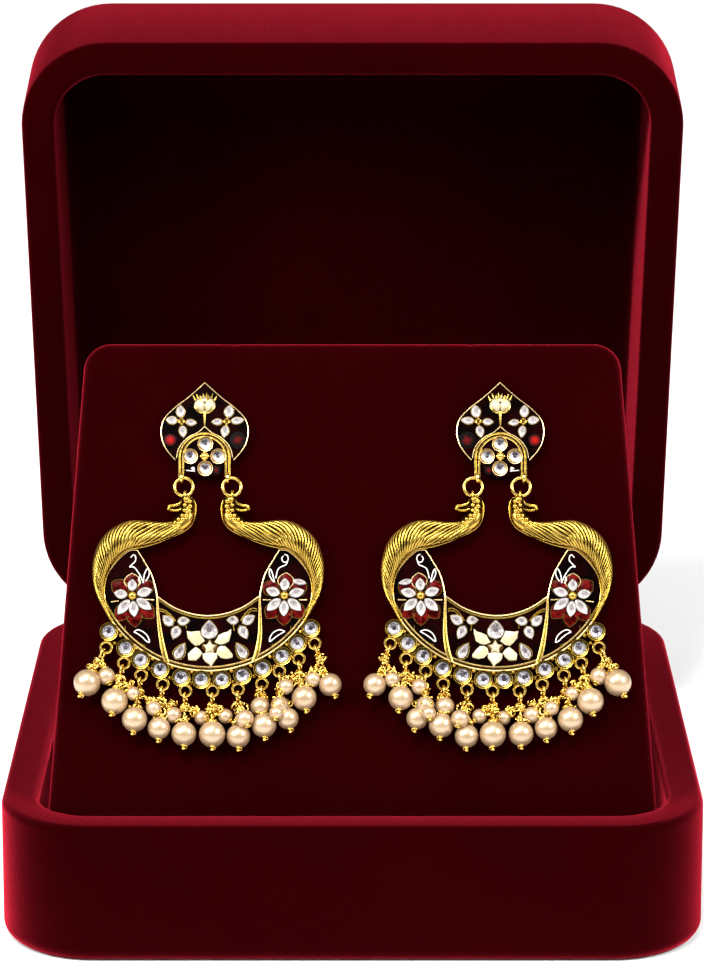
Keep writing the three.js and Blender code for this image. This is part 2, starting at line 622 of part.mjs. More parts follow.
// One earring's meshes in the card's plane; the right one is the mirror image of the left
function earring(name, side) {
  const group = new THREE.Group();
  const place = (part, piece, material) => {
    group.add(mesh(`${name}_${part}`, side < 0 ? piece : mirrored(piece), material));
  };
  group.position.set(side * EARRING_X, EARRING_Y, 0);
  place('stud', stud(), gold);
  place('jump_ring_outer', jumpRing(JUMP_RING_OUTER_X), gold);
  place('jump_ring_inner', jumpRing(JUMP_RING_INNER_X), gold);
  place('crescent', crescent(), gold);
  DROPS.forEach((row, i) => {
    place(`pearl_drop_${String(i + 1).padStart(2, '0')}`, pearlDrop(row), pearl);
  });
  return group;
}

const root = new THREE.Group();

const base = cutPockets(tray(BASE_HEIGHT, BASE_WALL, BASE_FILLET), -1, HINGE_Y, HINGE_Z);
root.add(mesh('box_base', base, velvet));
root.add(mesh('display_card', displayCard(), velvet));

const lid = new THREE.Group();
lid.position.set(0, HINGE_Y, HINGE_Z);
lid.rotation.x = -LID_OPEN;
root.add(lid);

// The lid is modelled closed about the pin line, then the group opens it
const lidTop = RIM_GAP / 2 + LID_HEIGHT;
const lidTray = tray(LID_HEIGHT, LID_WALL, LID_FILLET).mirror([0, 0, 1]).translate([0, -HINGE_Y, lidTop]);
lid.add(mesh('box_lid', cutPockets(lidTray, 1, 0, 0), velvet));

const leaves = hingeParts();
for (const [name, x] of [['left', -HINGE_X], ['right', HINGE_X]]) {
  root.add(mesh(`hinge_${name}_base_leaf`, leaves.base.translate([x, HINGE_Y, HINGE_Z]), brass));
  lid.add(mesh(`hinge_${name}_lid_leaf`, leaves.lid.translate([x, 0, 0]), brass));
}

const cardFace = new THREE.Group();
cardFace.position.set(0, CARD_FOOT_Y, CARD_FOOT_Z);
cardFace.rotation.x = CARD_LEAN;
cardFace.add(earring('left', -1), earring('right', 1));
root.add(cardFace);

export default root;
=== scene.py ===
# Looks of a pair of chandbali earrings on a velvet card in an open, hinged velvet box.
# Lengths are millimetres in this script, and each piece is turned to metres when it is made.
import json
import math
import random

import bmesh
import bpy
from mathutils import Matrix, Vector, noise

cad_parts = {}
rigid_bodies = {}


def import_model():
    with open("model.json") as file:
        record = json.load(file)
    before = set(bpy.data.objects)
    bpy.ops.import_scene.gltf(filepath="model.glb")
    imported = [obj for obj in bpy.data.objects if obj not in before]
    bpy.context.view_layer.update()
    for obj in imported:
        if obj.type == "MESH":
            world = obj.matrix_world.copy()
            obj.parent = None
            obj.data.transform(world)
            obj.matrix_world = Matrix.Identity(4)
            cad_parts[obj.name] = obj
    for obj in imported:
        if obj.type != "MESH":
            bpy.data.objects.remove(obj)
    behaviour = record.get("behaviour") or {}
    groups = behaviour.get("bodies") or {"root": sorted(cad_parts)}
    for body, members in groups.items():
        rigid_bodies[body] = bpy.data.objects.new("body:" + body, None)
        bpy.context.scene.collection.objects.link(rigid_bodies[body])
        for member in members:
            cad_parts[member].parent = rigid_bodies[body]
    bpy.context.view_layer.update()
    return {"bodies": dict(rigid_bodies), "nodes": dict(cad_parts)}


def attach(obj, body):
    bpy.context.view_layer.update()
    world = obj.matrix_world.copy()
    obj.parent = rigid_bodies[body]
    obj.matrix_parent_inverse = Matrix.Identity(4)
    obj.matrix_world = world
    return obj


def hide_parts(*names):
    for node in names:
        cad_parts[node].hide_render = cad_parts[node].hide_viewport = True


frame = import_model()

MM = 0.001
BOX = "box"
LID = "lid"

# Box, its main sizes as in the solids
FRONT_HALF_WIDTH = 65
REAR_HALF_WIDTH = 62.2
BOX_DEPTH = 117.6
BASE_HEIGHT = 26.8
LID_HEIGHT = 37.4
CORNER_RADIUS = 16.7
BASE_WALL = 7
LID_WALL = 6.5
PANEL_THICKNESS = 3
PANEL_INSET = 8
UNDERSIDE_INSET = 15
INNER_ROUND = 2.5
BASE_FILLET = 2.8
LID_FILLET = 4.6
RIM_ROUND = 1.4
CORNER_STEPS = 14
ARC_STEPS = 6
RIM_GAP = 0.8
HINGE_Y = BOX_DEPTH / 2 - 0.4
HINGE_Z = BASE_HEIGHT + RIM_GAP / 2

# Card, its main sizes as in the solids
CARD_LEAN = math.radians(60)
CARD_FOOT_Y = -BOX_DEPTH / 2 + 7.9
CARD_FOOT_Z = BASE_HEIGHT - 0.5
CARD_LENGTH = 89.1
CARD_HALF_FOOT = 56.1
CARD_HALF_HEAD = 49.9
CARD_THICKNESS = 5
CARD_CORNER = 4.7
CARD_EDGE = 2.0
SEAM_X = 22
SEAM_WIDTH = 0.55
SEAM_DEPTH = 0.4
SEAM_FADE = (50, 80)
BOARD_BEVEL = 0.8
BOARD_THICKNESS = 3
PROP_DROP = 6
PROP_FOOT_Y = 35
PROP_HALF_WIDTH = 44
SKIRT_HALF_WIDTH = 47

# Earring's own plane: x across, y up the card, z out of it, from the centre of the crescent's rim
EARRING_X = 26.7
EARRING_Y = 48.9
BACK = 0.5
FLOOR = 1.6
RIM_X = 22.1
RIM_Y = 22.7
LOOP_RADIUS = 0.85
LOOP_WIRE = 0.3
RING_Z = 1.9


def blank_scene():
    """Takes out any camera or light that doesn't belong to the frame"""
    kept = set(frame["nodes"].values()) | set(frame["bodies"].values())
    for thing in list(bpy.data.objects):
        if thing not in kept and thing.type in {"CAMERA", "LIGHT"}:
            bpy.data.objects.remove(thing, do_unlink=True)


# Shader sums


class Wire:
    """A shader socket that takes part in sums"""

    def __init__(self, tree, socket):
        self.tree = tree
        self.socket = socket

    def sum(self, operation, first, second):
        """A Math node on two values"""
        node = self.tree.nodes.new("ShaderNodeMath")
        node.operation = operation
        for slot, value in zip(node.inputs, (first, second)):
            if isinstance(value, Wire):
                self.tree.links.new(value.socket, slot)
            else:
                slot.default_value = value
        return Wire(self.tree, node.outputs[0])

    def __add__(self, other):
        return self.sum("ADD", self, other)

    def __radd__(self, other):
        return self.sum("ADD", other, self)

    def __sub__(self, other):
        return self.sum("SUBTRACT", self, other)

    def __rsub__(self, other):
        return self.sum("SUBTRACT", other, self)

    def __mul__(self, other):
        return self.sum("MULTIPLY", self, other)

    def __rmul__(self, other):
        return self.sum("MULTIPLY", other, self)


class Finish:
    """A material under construction round one Principled shader"""

    def __init__(self, name, **constants):
        self.material = bpy.data.materials.new(name)
        self.material.use_nodes = True
        self.tree = self.material.node_tree
        self.shader = self.tree.nodes["Principled BSDF"]
        for label, value in constants.items():
            self.shader.inputs[label.replace("_", " ")].default_value = value

    def node(self, kind, settings=None, output=0, **sockets):
        """One node: its type, its settings, then the values or links of its sockets"""
        node = self.tree.nodes.new(kind)
        for setting, value in (settings or {}).items():
            setattr(node, setting, value)
        for label, value in sockets.items():
            numbered = label[1:].isdigit()
            slot = node.inputs[int(label[1:]) if numbered else label.replace("_", " ")]
            if isinstance(value, Wire):
                self.tree.links.new(value.socket, slot)
            else:
                slot.default_value = value
        return Wire(self.tree, node.outputs[output])

    def noise(self, size_mm, detail=2.0, roughness=0.5):
        """Noise whose grain is about a size in millimetres"""
        where = self.node("ShaderNodeTexCoord", output="Object")
        return self.node("ShaderNodeTexNoise", {"noise_dimensions": "3D"}, "Fac", Vector=where,
                         Scale=1 / (size_mm * MM), Detail=detail, Roughness=roughness)

    def stretch(self, value, low, high, to_low=0.0, to_high=1.0):
        return self.node("ShaderNodeMapRange", {"clamp": True}, "Result", Value=value,
                         From_Min=low, From_Max=high, To_Min=to_low, To_Max=to_high)

    def mix(self, share, first, second):
        """Mixes two colours by a share from 0 to 1"""
        return self.node("ShaderNodeMix", {"data_type": "RGBA"}, 2, _0=share, _6=first, _7=second)

    def attribute(self, name):
        return self.node("ShaderNodeAttribute", {"attribute_name": name}, "Fac")

    def feed(self, **links):
        for label, wire in links.items():
            self.tree.links.new(wire.socket, self.shader.inputs[label.replace("_", " ")])
        return self.material

    def bump(self, height, strength, depth_mm):
        """A small relief as a normal"""
        return self.node("ShaderNodeBump", None, "Normal", Strength=strength,
                         Distance=depth_mm * MM, Height=height)


def colour(red, green, blue):
    return (red, green, blue, 1.0)


def velvet(name, pile, sheen):
    """Flocked pile: fine grain, soft patches where it was brushed, and a bright nap at grazing angles"""
    finish = Finish(name, Roughness=0.9, Specular_IOR_Level=0.0, Sheen_Weight=sheen, Sheen_Roughness=0.36)
    finish.shader.inputs["Sheen Tint"].default_value = NAP
    flock = finish.noise(size_mm=0.3, roughness=0.7)
    brushed = finish.noise(size_mm=22)
    tone = finish.stretch(flock, 0.3, 0.7) * 0.6 + finish.stretch(brushed, 0.3, 0.7) * 0.4
    base = finish.mix(tone, PILE_SHADE, pile)
    return finish.feed(Base_Color=base, Normal=finish.bump(flock, strength=0.6, depth_mm=0.2))


def antique_gold_painted_shade(name, bright, dark, roughness, soot):
    """Gold plate, with painted shade where the depth attribute is high, in its cuts, grooves and round the
    feet of beads, and darker soot in patches and small pits
    """
    finish = Finish(name, Metallic=1.0)
    grain = finish.noise(size_mm=0.45, detail=4.0, roughness=0.6)
    patch = finish.noise(size_mm=2.6)
    # Painted shade: the depth attribute darkens recesses and the feet of beads
    cut = finish.attribute("depth")
    soot_and_shade = cut + finish.stretch(patch, 0.4, 0.7) * soot + (grain - 0.5) * 0.25
    base = finish.mix(finish.stretch(soot_and_shade, 0.1, 0.6), bright, dark)
    rough = finish.stretch(grain, 0.3, 0.7, roughness * 0.8, roughness * 1.3)
    pits = finish.bump(grain, strength=0.3, depth_mm=0.08)
    return finish.feed(Base_Color=base, Roughness=rough, Normal=pits)


def pearl_lustre(name):
    """Glass pearl: a warm, half metallic body with paler clouds under a soft, broad coat"""
    finish = Finish(name, Metallic=0.5, Roughness=0.4, Coat_Weight=1.0, Coat_Roughness=0.26, Coat_IOR=1.7)
    finish.shader.inputs["Coat Tint"].default_value = colour(1.0, 0.86, 0.7)
    cloud = finish.noise(size_mm=2.4)
    body = finish.mix(finish.stretch(cloud, 0.3, 0.7), colour(0.37, 0.285, 0.19), colour(0.43, 0.355, 0.26))
    return finish.feed(Base_Color=body)


def enamel(name, first, second, size_mm):
    """Fused glass enamel with slight waves and clouds of a second colour"""
    finish = Finish(name, Roughness=0.24, Specular_IOR_Level=0.02)
    cloud = finish.noise(size_mm)
    base = finish.mix(finish.stretch(cloud, 0.4, 0.68), first, second)
    waves = finish.bump(finish.noise(size_mm=1.2), strength=0.2, depth_mm=0.1)
    return finish.feed(Base_Color=base, Normal=waves)


def fading_enamel(name, ground, middle):
    """A second enamel that shows through the first where the depth is high"""
    finish = Finish(name, Roughness=0.25, Specular_IOR_Level=0.1)
    share = finish.attribute("depth") + (finish.noise(size_mm=0.5) - 0.5) * 0.25
    return finish.feed(Base_Color=finish.mix(finish.stretch(share, 0.1, 0.85), ground, middle))


def stone(name, light, dark, roughness):
    """A polished stone, each facet with its own tone; cut stones also get a painted reflection in their
    tones
    """
    finish = Finish(name, Coat_Weight=0.5, Coat_Roughness=0.05, Roughness=roughness)
    cloud = finish.noise(size_mm=0.8)
    share = finish.stretch(finish.attribute("tone") + (cloud - 0.5) * 0.35, 0.0, 1.0)
    return finish.feed(Base_Color=finish.mix(share, dark, light))


def floor_paint():
    """The stage's floor, nearly white"""
    finish = Finish("pale_floor", Roughness=0.9)
    base = finish.mix(finish.noise(size_mm=40), colour(0.93, 0.93, 0.93), colour(0.96, 0.96, 0.96))
    return finish.feed(Base_Color=base)


NAP = colour(1.0, 0.036, 0.075)
PILE = colour(0.011, 0.0001, 0.0003)
PILE_SHADE = colour(0.006, 0.0, 0.0002)
VELVET_BASE = velvet("velvet_base", PILE, 1.0)
VELVET_CARD = velvet("velvet_card", PILE, 0.72)
VELVET_LID = velvet("velvet_lid", colour(0.013, 0.0001, 0.0003), 0.46)
GOLD = antique_gold_painted_shade("antique_gold_painted_shade", colour(0.47, 0.305, 0.052), colour(0.02, 0.007, 0.001), 0.24, 0.05)
WIRE_GOLD = antique_gold_painted_shade("bright_gold_wire", colour(0.66, 0.44, 0.1), colour(0.08, 0.03, 0.003), 0.2, 0.2)
PALE_GOLD = antique_gold_painted_shade("pale_gold_line", colour(0.85, 0.63, 0.29), colour(0.3, 0.16, 0.04), 0.3, 0.2)
PEARL = pearl_lustre("pearl")
BLACK_ENAMEL = enamel("black_enamel", colour(0.0008, 0.0002, 0.0002), colour(0.007, 0.0001, 0.0002), 3.5)
RED_ENAMEL = enamel("red_enamel", colour(0.015, 0.0004, 0.0004), colour(0.11, 0.004, 0.004), 0.9)
RED_GLOW = fading_enamel("ruby_glow", colour(0.001, 0.0003, 0.0003), colour(0.36, 0.006, 0.005))
WHITE_STONE = stone("white_stone", colour(0.46, 0.425, 0.41), colour(0.07, 0.055, 0.058), 0.2)
IVORY_STONE = stone("ivory_stone", colour(0.5, 0.44, 0.29), colour(0.3, 0.235, 0.11), 0.35)
CLEAR_STONE = stone("clear_stone", colour(0.56, 0.54, 0.56), colour(0.015, 0.012, 0.018), 0.1)
WHITE_WIRE = stone("white_enamel_wire", colour(0.85, 0.83, 0.8), colour(0.5, 0.47, 0.45), 0.3)
HINGE_BRASS = antique_gold_painted_shade("hinge_brass", colour(0.6, 0.42, 0.16), colour(0.12, 0.07, 0.02), 0.4, 0.2)


# Shapes

# Angles in degrees above which an edge stays crisp
FINE_FACETS = 5
FACETS = 12
CREASED = 35
ROUND = 70
ROUNDEST = 80


class Form:
    """Points and faces of one piece, with a tone for each face and a depth for each point; the depth paints
    shade on gold and sets how much red shows in the glow enamel
    """

    def __init__(self):
        self.points = []
        self.faces = []
        self.tones = []
        self.depths = []
        self.draw = random.Random(7)

    def skin(self, rings, closed=False, depths=None):
        """Skins a row of rings with the same count of points, with ends unless the row is closed"""
        first = len(self.points)
        count = len(rings[0])
        rows = len(rings)
        for row, ring in enumerate(rings):
            self.points.extend(Vector(point) for point in ring)
            self.depths.extend(depths[row] if depths else [0.0] * count)
        for row in range(rows if closed else rows - 1):
            near = first + row * count
            far = first + (row + 1) % rows * count
            for i in range(count):
                j = (i + 1) % count
                self.face([near + i, near + j, far + j, far + i])
        if not closed:
            self.face([first + i for i in reversed(range(count))])
            self.face([first + (rows - 1) * count + i for i in range(count)])
        return self

    def face(self, corners, tone=None):
        self.faces.append(corners)
        self.tones.append(self.draw.random() if tone is None else tone)

    def tube(self, path, radius, sides=6, closed=False, flat=1.0, depth=0.0):
        """A round wire along a path: one radius or one for each point, its height squeezed by flat"""
        path = [Vector(point) for point in path]
        count = len(path)
        radii = radius if isinstance(radius, (list, tuple)) else [radius] * count
        side = Vector((0, 0, 1))
        rings = []
        for i, point in enumerate(path):
            before = path[(i - 1) % count if closed else max(i - 1, 0)]
            after = path[(i + 1) % count if closed else min(i + 1, count - 1)]
            along = (after - before).normalized()
            if abs(along.dot(side)) > 0.95:
                side = Vector((1, 0, 0)) if abs(along.x) < 0.9 else Vector((0, 1, 0))
            side = (side - along * side.dot(along)).normalized()
            across = along.cross(side)
            ring = []
            for k in range(sides):
                turn = 2 * math.pi * k / sides
                ring.append(point + radii[i] * (math.cos(turn) * across + flat * math.sin(turn) * side))
            rings.append(ring)
        return self.skin(rings, closed, [[depth] * sides] * count)

    def line(self, points, z, radius, sides=6, depth=0.0):
        """A round wire along a flat line, at one height"""
        return self.tube(lift(points, z), radius, sides, depth=depth)

    def surround(self, petal, spare, z, radius, depth=0.0):
        """A thin wire round a petal, a spare width away from it"""
        return self.tube(lift(leaf(*petal, spare=spare), z), radius, closed=True, depth=depth)

    def ball(self, centre, radius, sides, rows, squash=1.0, axis=(0, 0, 1), depth=0.0):
        """A ball of rows about an axis, along which it may be squashed"""
        turn = Vector((0, 0, 1)).rotation_difference(Vector(axis))
        first = len(self.points)
        tilt = [math.pi * row / rows for row in range(1, rows)]
        self.points.append(Vector(centre) + turn @ Vector((0, 0, -radius * squash)))
        for polar in tilt:
            for i in range(sides):
                angle = 2 * math.pi * i / sides
                local = Vector((math.sin(polar) * math.cos(angle), math.sin(polar) * math.sin(angle),
                                -squash * math.cos(polar)))
                self.points.append(Vector(centre) + turn @ (local * radius))
        self.points.append(Vector(centre) + turn @ Vector((0, 0, radius * squash)))
        last = len(self.points) - 1
        self.depths.extend([depth] * (last + 1 - first))
        for i in range(sides):
            j = (i + 1) % sides
            self.face([first, first + 1 + j, first + 1 + i], 0.5)
            top = first + 1 + (rows - 2) * sides
            self.face([top + i, top + j, last], 0.5)
            for row in range(rows - 2):
                a = first + 1 + row * sides
                self.face([a + i, a + j, a + sides + j, a + sides + i], 0.5)
        return self

    def ring(self, centre, radius, wire, steps, axis=(0, 0, 1), sides=8, depth=0.0):
        """A closed wire ring about an axis"""
        angles = [2 * math.pi * i / steps for i in range(steps)]
        return self.tube(circle(centre, radius, axis, angles), wire, sides, closed=True, depth=depth)

    def slab(self, outline, low, high, bevel=0.0):
        """A flat plate between two heights, its upper edge rounded by a bevel"""
        sections = [(0, low), (0, high - bevel)]
        if bevel:
            sections += [(bevel * 0.3, high - bevel * 0.3), (bevel, high)]
        return self.skin([shrunk(outline, inset, z) for inset, z in sections])

    def plate(self, one, other, low, high, depth=0.0):
        """A flat plate between two edges that are cut into the same number of points"""
        rings = []
        for (ax, ay), (bx, by) in zip(one, other):
            rings.append([(ax, ay, low), (bx, by, low), (bx, by, high), (ax, ay, high)])
        return self.skin(rings, depths=[[depth] * 4] * len(rings))

    def dome(self, outline, low, high):
        """A pillow over an outline, highest in the middle"""
        rings = [lift(outline, low)]
        for share in (1.0, 0.96, 0.82, 0.6, 0.3):
            rings.append(scaled(outline, share, low + (high - low) * math.sqrt(1 - (0.98 * share) ** 2)))
        return self.skin(rings)

    def cut_stone(self, outline, low, girdle, top, table=0.6, darkest=0.55, painted_glint_below=0.2):
        """A cut stone: wall, facets and a table of two rows, dark inside, its lower side brightened by a
        painted reflection
        """
        middle = centre_of(outline)
        count = len(outline)
        first = len(self.points)
        shares = (1, 1, (1 + table) / 2, table, table * 0.5)
        heights = (low, girdle, (girdle + top * 2) / 3, top, top)
        for share, z in zip(shares, heights):
            self.points.extend(Vector(point) for point in scaled(outline, share, z))
        self.points.append(Vector((*middle, top)))
        self.depths.extend([0.0] * (len(shares) * count + 1))
        spans = ((0.6, 0.8), (0.45, 0.95), (darkest, 0.9), (darkest * 0.6, 0.6))
        for row, (low_tone, high_tone) in enumerate(spans):
            for i, (x, y) in enumerate(outline):
                a, b = first + row * count + i, first + row * count + (i + 1) % count
                away = math.hypot(x - middle[0], y - middle[1]) or 1
                # Painted reflection: facets towards the stone's lower side get a brighter tone
                tone = self.draw.uniform(low_tone, high_tone) + painted_glint_below * (middle[1] - y) / away
                self.face([a, b, b + count, a + count], min(max(tone, 0), 1))
        hub = first + len(shares) * count
        for i in range(count):
            a, b = hub - count + i, hub - count + (i + 1) % count
            self.face([a, b, hub], max(darkest - self.draw.random() * 0.5, 0))
        self.face([first + i for i in reversed(range(count))], 0.5)
        return self

    def mirrored(self):
        """The same piece on the other side of the earring's middle line"""
        twin = Form()
        twin.points = [Vector((-p.x, p.y, p.z)) for p in self.points]
        twin.faces = [list(reversed(face)) for face in self.faces]
        twin.tones = list(self.tones)
        twin.depths = list(self.depths)
        return twin

    def join(self, *others):
        """Takes in the points and faces of other forms"""
        for other in others:
            shift = len(self.points)
            self.points.extend(other.points)
            self.faces.extend([corner + shift for corner in face] for face in other.faces)
            self.tones.extend(other.tones)
            self.depths.extend(other.depths)
        return self


def put_in_scene(name, data):
    """A new object in the scene"""
    thing = bpy.data.objects.new(name, data)
    bpy.context.scene.collection.objects.link(thing)
    return thing


def make(name, form, material, place=None, body=BOX, sharp=CREASED, slot=None, replaces=()):
    """Turns a form into an object in metres that rides on a body; sharp is the angle of a crisp edge"""
    place = place or Matrix.Identity(4)
    mesh = bpy.data.meshes.new(name)
    mesh.from_pydata([(place @ point) * MM for point in form.points], [], form.faces)
    mesh.attributes.new("depth", "FLOAT", "POINT").data.foreach_set("value", form.depths)
    mesh.attributes.new("tone", "FLOAT", "FACE").data.foreach_set("value", form.tones)
    mesh.validate()
    shell = bmesh.new()
    shell.from_mesh(mesh)
    bmesh.ops.recalc_face_normals(shell, faces=shell.faces)
    shell.to_mesh(mesh)
    shell.free()
    mesh.polygons.foreach_set("use_smooth", [True] * len(mesh.polygons))
    mesh.set_sharp_from_angle(angle=math.radians(sharp))
    mesh.materials.append(material)
    piece = put_in_scene(name, mesh)
    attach(piece, body)
    if replaces:
        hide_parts(*replaces)


def centre_of(outline):
    """The mean of an outline's points"""
    return (sum(x for x, _ in outline) / len(outline), sum(y for _, y in outline) / len(outline))


def scaled(outline, share, z):
    """An outline drawn towards its middle by a share, at one height"""
    middle_x, middle_y = centre_of(outline)
    return [(middle_x + (x - middle_x) * share, middle_y + (y - middle_y) * share, z) for x, y in outline]


def shrunk(outline, inset, z):
    """An outline drawn inwards along its own normals, at one height"""
    if not inset:
        return lift(outline, z)
    count = len(outline)
    turned = sum(outline[i][0] * outline[(i + 1) % count][1] - outline[(i + 1) % count][0] * outline[i][1]
                 for i in range(count))
    sign = 1 if turned > 0 else -1
    ring = []
    for i, (x, y) in enumerate(outline):
        before, after = outline[i - 1], outline[(i + 1) % count]
        along = Vector((after[0] - before[0], after[1] - before[1]))
        if along.length > 1e-6:
            along.normalize()
        ring.append((x - sign * along.y * inset, y + sign * along.x * inset, z))
    return ring


def curve(points, steps=5):
    """A smooth curve through points of any dimension"""
    padded = [points[0], *points, points[-1]]
    made = []
    for a, b, c, d in zip(padded, padded[1:], padded[2:], padded[3:]):
        for step in range(steps):
            t = step / steps
            made.append(tuple(0.5 * (2 * q + (r - p) * t + (2 * p - 5 * q + 4 * r - s) * t * t
                                     + (3 * q - p - 3 * r + s) * t ** 3)
                              for p, q, r, s in zip(a, b, c, d)))
    made.append(tuple(points[-1]))
    return made


def even(points, count):
    """The same line cut into a count of equal steps"""
    lengths = [0.0]
    for a, b in zip(points, points[1:]):
        lengths.append(lengths[-1] + math.dist(a, b))
    made = []
    k = 0
    for i in range(count):
        goal = lengths[-1] * i / (count - 1)
        while k + 2 < len(points) and lengths[k + 1] < goal:
            k += 1
        share = (goal - lengths[k]) / ((lengths[k + 1] - lengths[k]) or 1)
        made.append(tuple(p + (q - p) * share for p, q in zip(points[k], points[k + 1])))
    return made


def lift(points, z):
    """A flat line or outline at one height"""
    return [(x, y, z) for x, y in points]


def flipped(points, side):
    """A flat line as it is for side 1, or on the other side of the middle line for side -1"""
    return [(side * x, y) for x, y in points]


def circle(centre, radius, axis, angles, rise=0.0):
    """Points at some angles about an axis, each a rise above the last"""
    turn = Vector((0, 0, 1)).rotation_difference(Vector(axis).normalized())
    path = []
    for i, angle in enumerate(angles):
        local = Vector((radius * math.cos(angle), radius * math.sin(angle), rise * i))
        path.append(Vector(centre) + turn @ local)
    return path


def disc(x, y, radius, steps, turn=0.0):
    """Points round a circle"""
    angles = [2 * math.pi * i / steps + turn for i in range(steps)]
    return [(x + radius * math.cos(angle), y + radius * math.sin(angle)) for angle in angles]


def leaf(foot, tip, width, fullness=1.0, steps=7, spare=0.0):
    """A petal from its foot to its tip, pointed at both ends and grown all round by a spare width"""
    angle = math.atan2(tip[1] - foot[1], tip[0] - foot[0])
    out = (math.cos(angle), math.sin(angle))
    x, y = foot[0] - spare * out[0], foot[1] - spare * out[1]
    reach = math.dist(foot, tip) + 2 * spare
    left, right = [], []
    for i in range(steps + 1):
        t = i / steps
        half = (width / 2 + 0.8 * spare) * math.sin(math.pi * t ** fullness) ** 0.8 if 0 < t < 1 else 0
        left.append((x + out[0] * reach * t - out[1] * half, y + out[1] * reach * t + out[0] * half))
        right.append((x + out[0] * reach * t + out[1] * half, y + out[1] * reach * t - out[0] * half))
    return right + left[-2:0:-1]


# Box and lid


def box_outline(inset, z):
    """The box's outline, drawn inwards by an inset: wider in front than behind"""
    front, rear = FRONT_HALF_WIDTH - CORNER_RADIUS, REAR_HALF_WIDTH - CORNER_RADIUS
    y_middle = BOX_DEPTH / 2 - CORNER_RADIUS
    reach = CORNER_RADIUS - inset
    ring = []
    corners = ((front, -y_middle), (rear, y_middle), (-rear, y_middle), (-front, -y_middle))
    for corner, (x, y) in enumerate(corners):
        for step in range(CORNER_STEPS + 1):
            angle = math.radians(90 * (corner - 1) + 90 * step / CORNER_STEPS)
            ring.append((x + reach * math.cos(angle), y + reach * math.sin(angle), z))
    return ring


def arc(centre_in, centre_z, radius, start, end):
    """Insets and heights along an arc of the tray's wall section"""
    made = []
    for i in range(ARC_STEPS + 1):
        angle = math.radians(start + (end - start) * i / ARC_STEPS)
        made.append((centre_in - radius * math.cos(angle), centre_z + radius * math.sin(angle)))
    return made


def tray(height, wall, fillet):
    """A flocked tray: filleted underside, rounded rim and a soft inner corner"""
    profile = [(UNDERSIDE_INSET, 0)]
    profile += arc(fillet, fillet, fillet, -90, 0)
    profile += arc(RIM_ROUND, height - RIM_ROUND, RIM_ROUND, 0, 90)
    profile += arc(wall - RIM_ROUND, height - RIM_ROUND, RIM_ROUND, 90, 180)
    profile += arc(wall + INNER_ROUND, PANEL_THICKNESS + INNER_ROUND, INNER_ROUND, 0, -90)
    profile += [(wall + PANEL_INSET, PANEL_THICKNESS)]
    return Form().skin([box_outline(inset, z) for inset, z in profile])


def half_width(y):
    """Half of the card's width, some way up its length"""
    return CARD_HALF_FOOT + (CARD_HALF_HEAD - CARD_HALF_FOOT) * y / CARD_LENGTH


def card_height(x, y, seamed):
    """How far a side of the card lies inside its plane, at its soft edges and at the front's seams"""
    side_gap = max(half_width(y) - abs(x), 0.0)
    top_gap = CARD_LENGTH - y
    if side_gap < CARD_CORNER and top_gap < CARD_CORNER:
        gap = CARD_CORNER - math.hypot(CARD_CORNER - side_gap, CARD_CORNER - top_gap)
    else:
        gap = min(side_gap, top_gap)
    gap = min(max(gap, 0.0), CARD_EDGE)
    edge = CARD_EDGE - math.sqrt(CARD_EDGE ** 2 - (CARD_EDGE - gap) ** 2)
    if not seamed:
        return edge
    low, high = SEAM_FADE
    fade = min(max((y - low) / (high - low), 0.0), 1.0)
    return edge + SEAM_DEPTH * fade * math.exp(-((abs(x) - SEAM_X) / SEAM_WIDTH) ** 2)


def card_board():
    """The face board, lofted up its length with the seams pressed into its face"""
    edge = [CARD_EDGE * (1 - math.cos(math.pi * k / 12)) for k in range(7)]
    heights = [0.0, 0.6, 2.0] + [6.0 + 5.5 * k for k in range(14)] + [CARD_LENGTH - CARD_CORNER]
    heights += [CARD_LENGTH - CARD_CORNER * (1 - math.sin(math.pi * k / 16)) for k in range(1, 9)]
    seam_steps = [-3, -1.5, -1, -0.5, 0, 0.5, 1, 1.5, 3]
    rings = []
    for y in heights:
        half = half_width(y)
        over = y - (CARD_LENGTH - CARD_CORNER)
        if over > 0:
            half -= CARD_CORNER - math.sqrt(max(CARD_CORNER ** 2 - over ** 2, 0.0))
        right = [half - gap for gap in edge]
        right += [30, *(SEAM_X + SEAM_WIDTH * k for k in reversed(seam_steps)), 16, 8]
        xs = [-x for x in right] + [0.0] + right[::-1]
        front = [(x, y, -card_height(x, y, True)) for x in xs]
        back = [(x, y, -CARD_THICKNESS + card_height(x, y, False)) for x in reversed(xs[1:-1])]
        rings.append(front + back)
    return Form().skin(rings)


def crossboard(profile, half):
    """A board that runs across the box: its section is in Y and Z, its long edges are softened"""
    soft = BOARD_BEVEL * 0.3
    rings = []
    for x, inset in ((-half, BOARD_BEVEL), (-half + soft, soft), (-half + BOARD_BEVEL, 0),
                     (half - BOARD_BEVEL, 0), (half - soft, soft), (half, BOARD_BEVEL)):
        rings.append([(x, y, z) for y, z, _ in shrunk(profile, inset, 0)])
    return Form().skin(rings)


def on_card(side):
    """From an earring's plane, or the card's own for side 0, to the box's frame"""
    lean = Matrix.Translation((0, CARD_FOOT_Y, CARD_FOOT_Z)) @ Matrix.Rotation(CARD_LEAN, 4, "X")
    if side == 0:
        return lean
    mirror = Matrix.Diagonal((-side, 1, 1, 1))
    return lean @ Matrix.Translation((side * EARRING_X, EARRING_Y, 0)) @ mirror


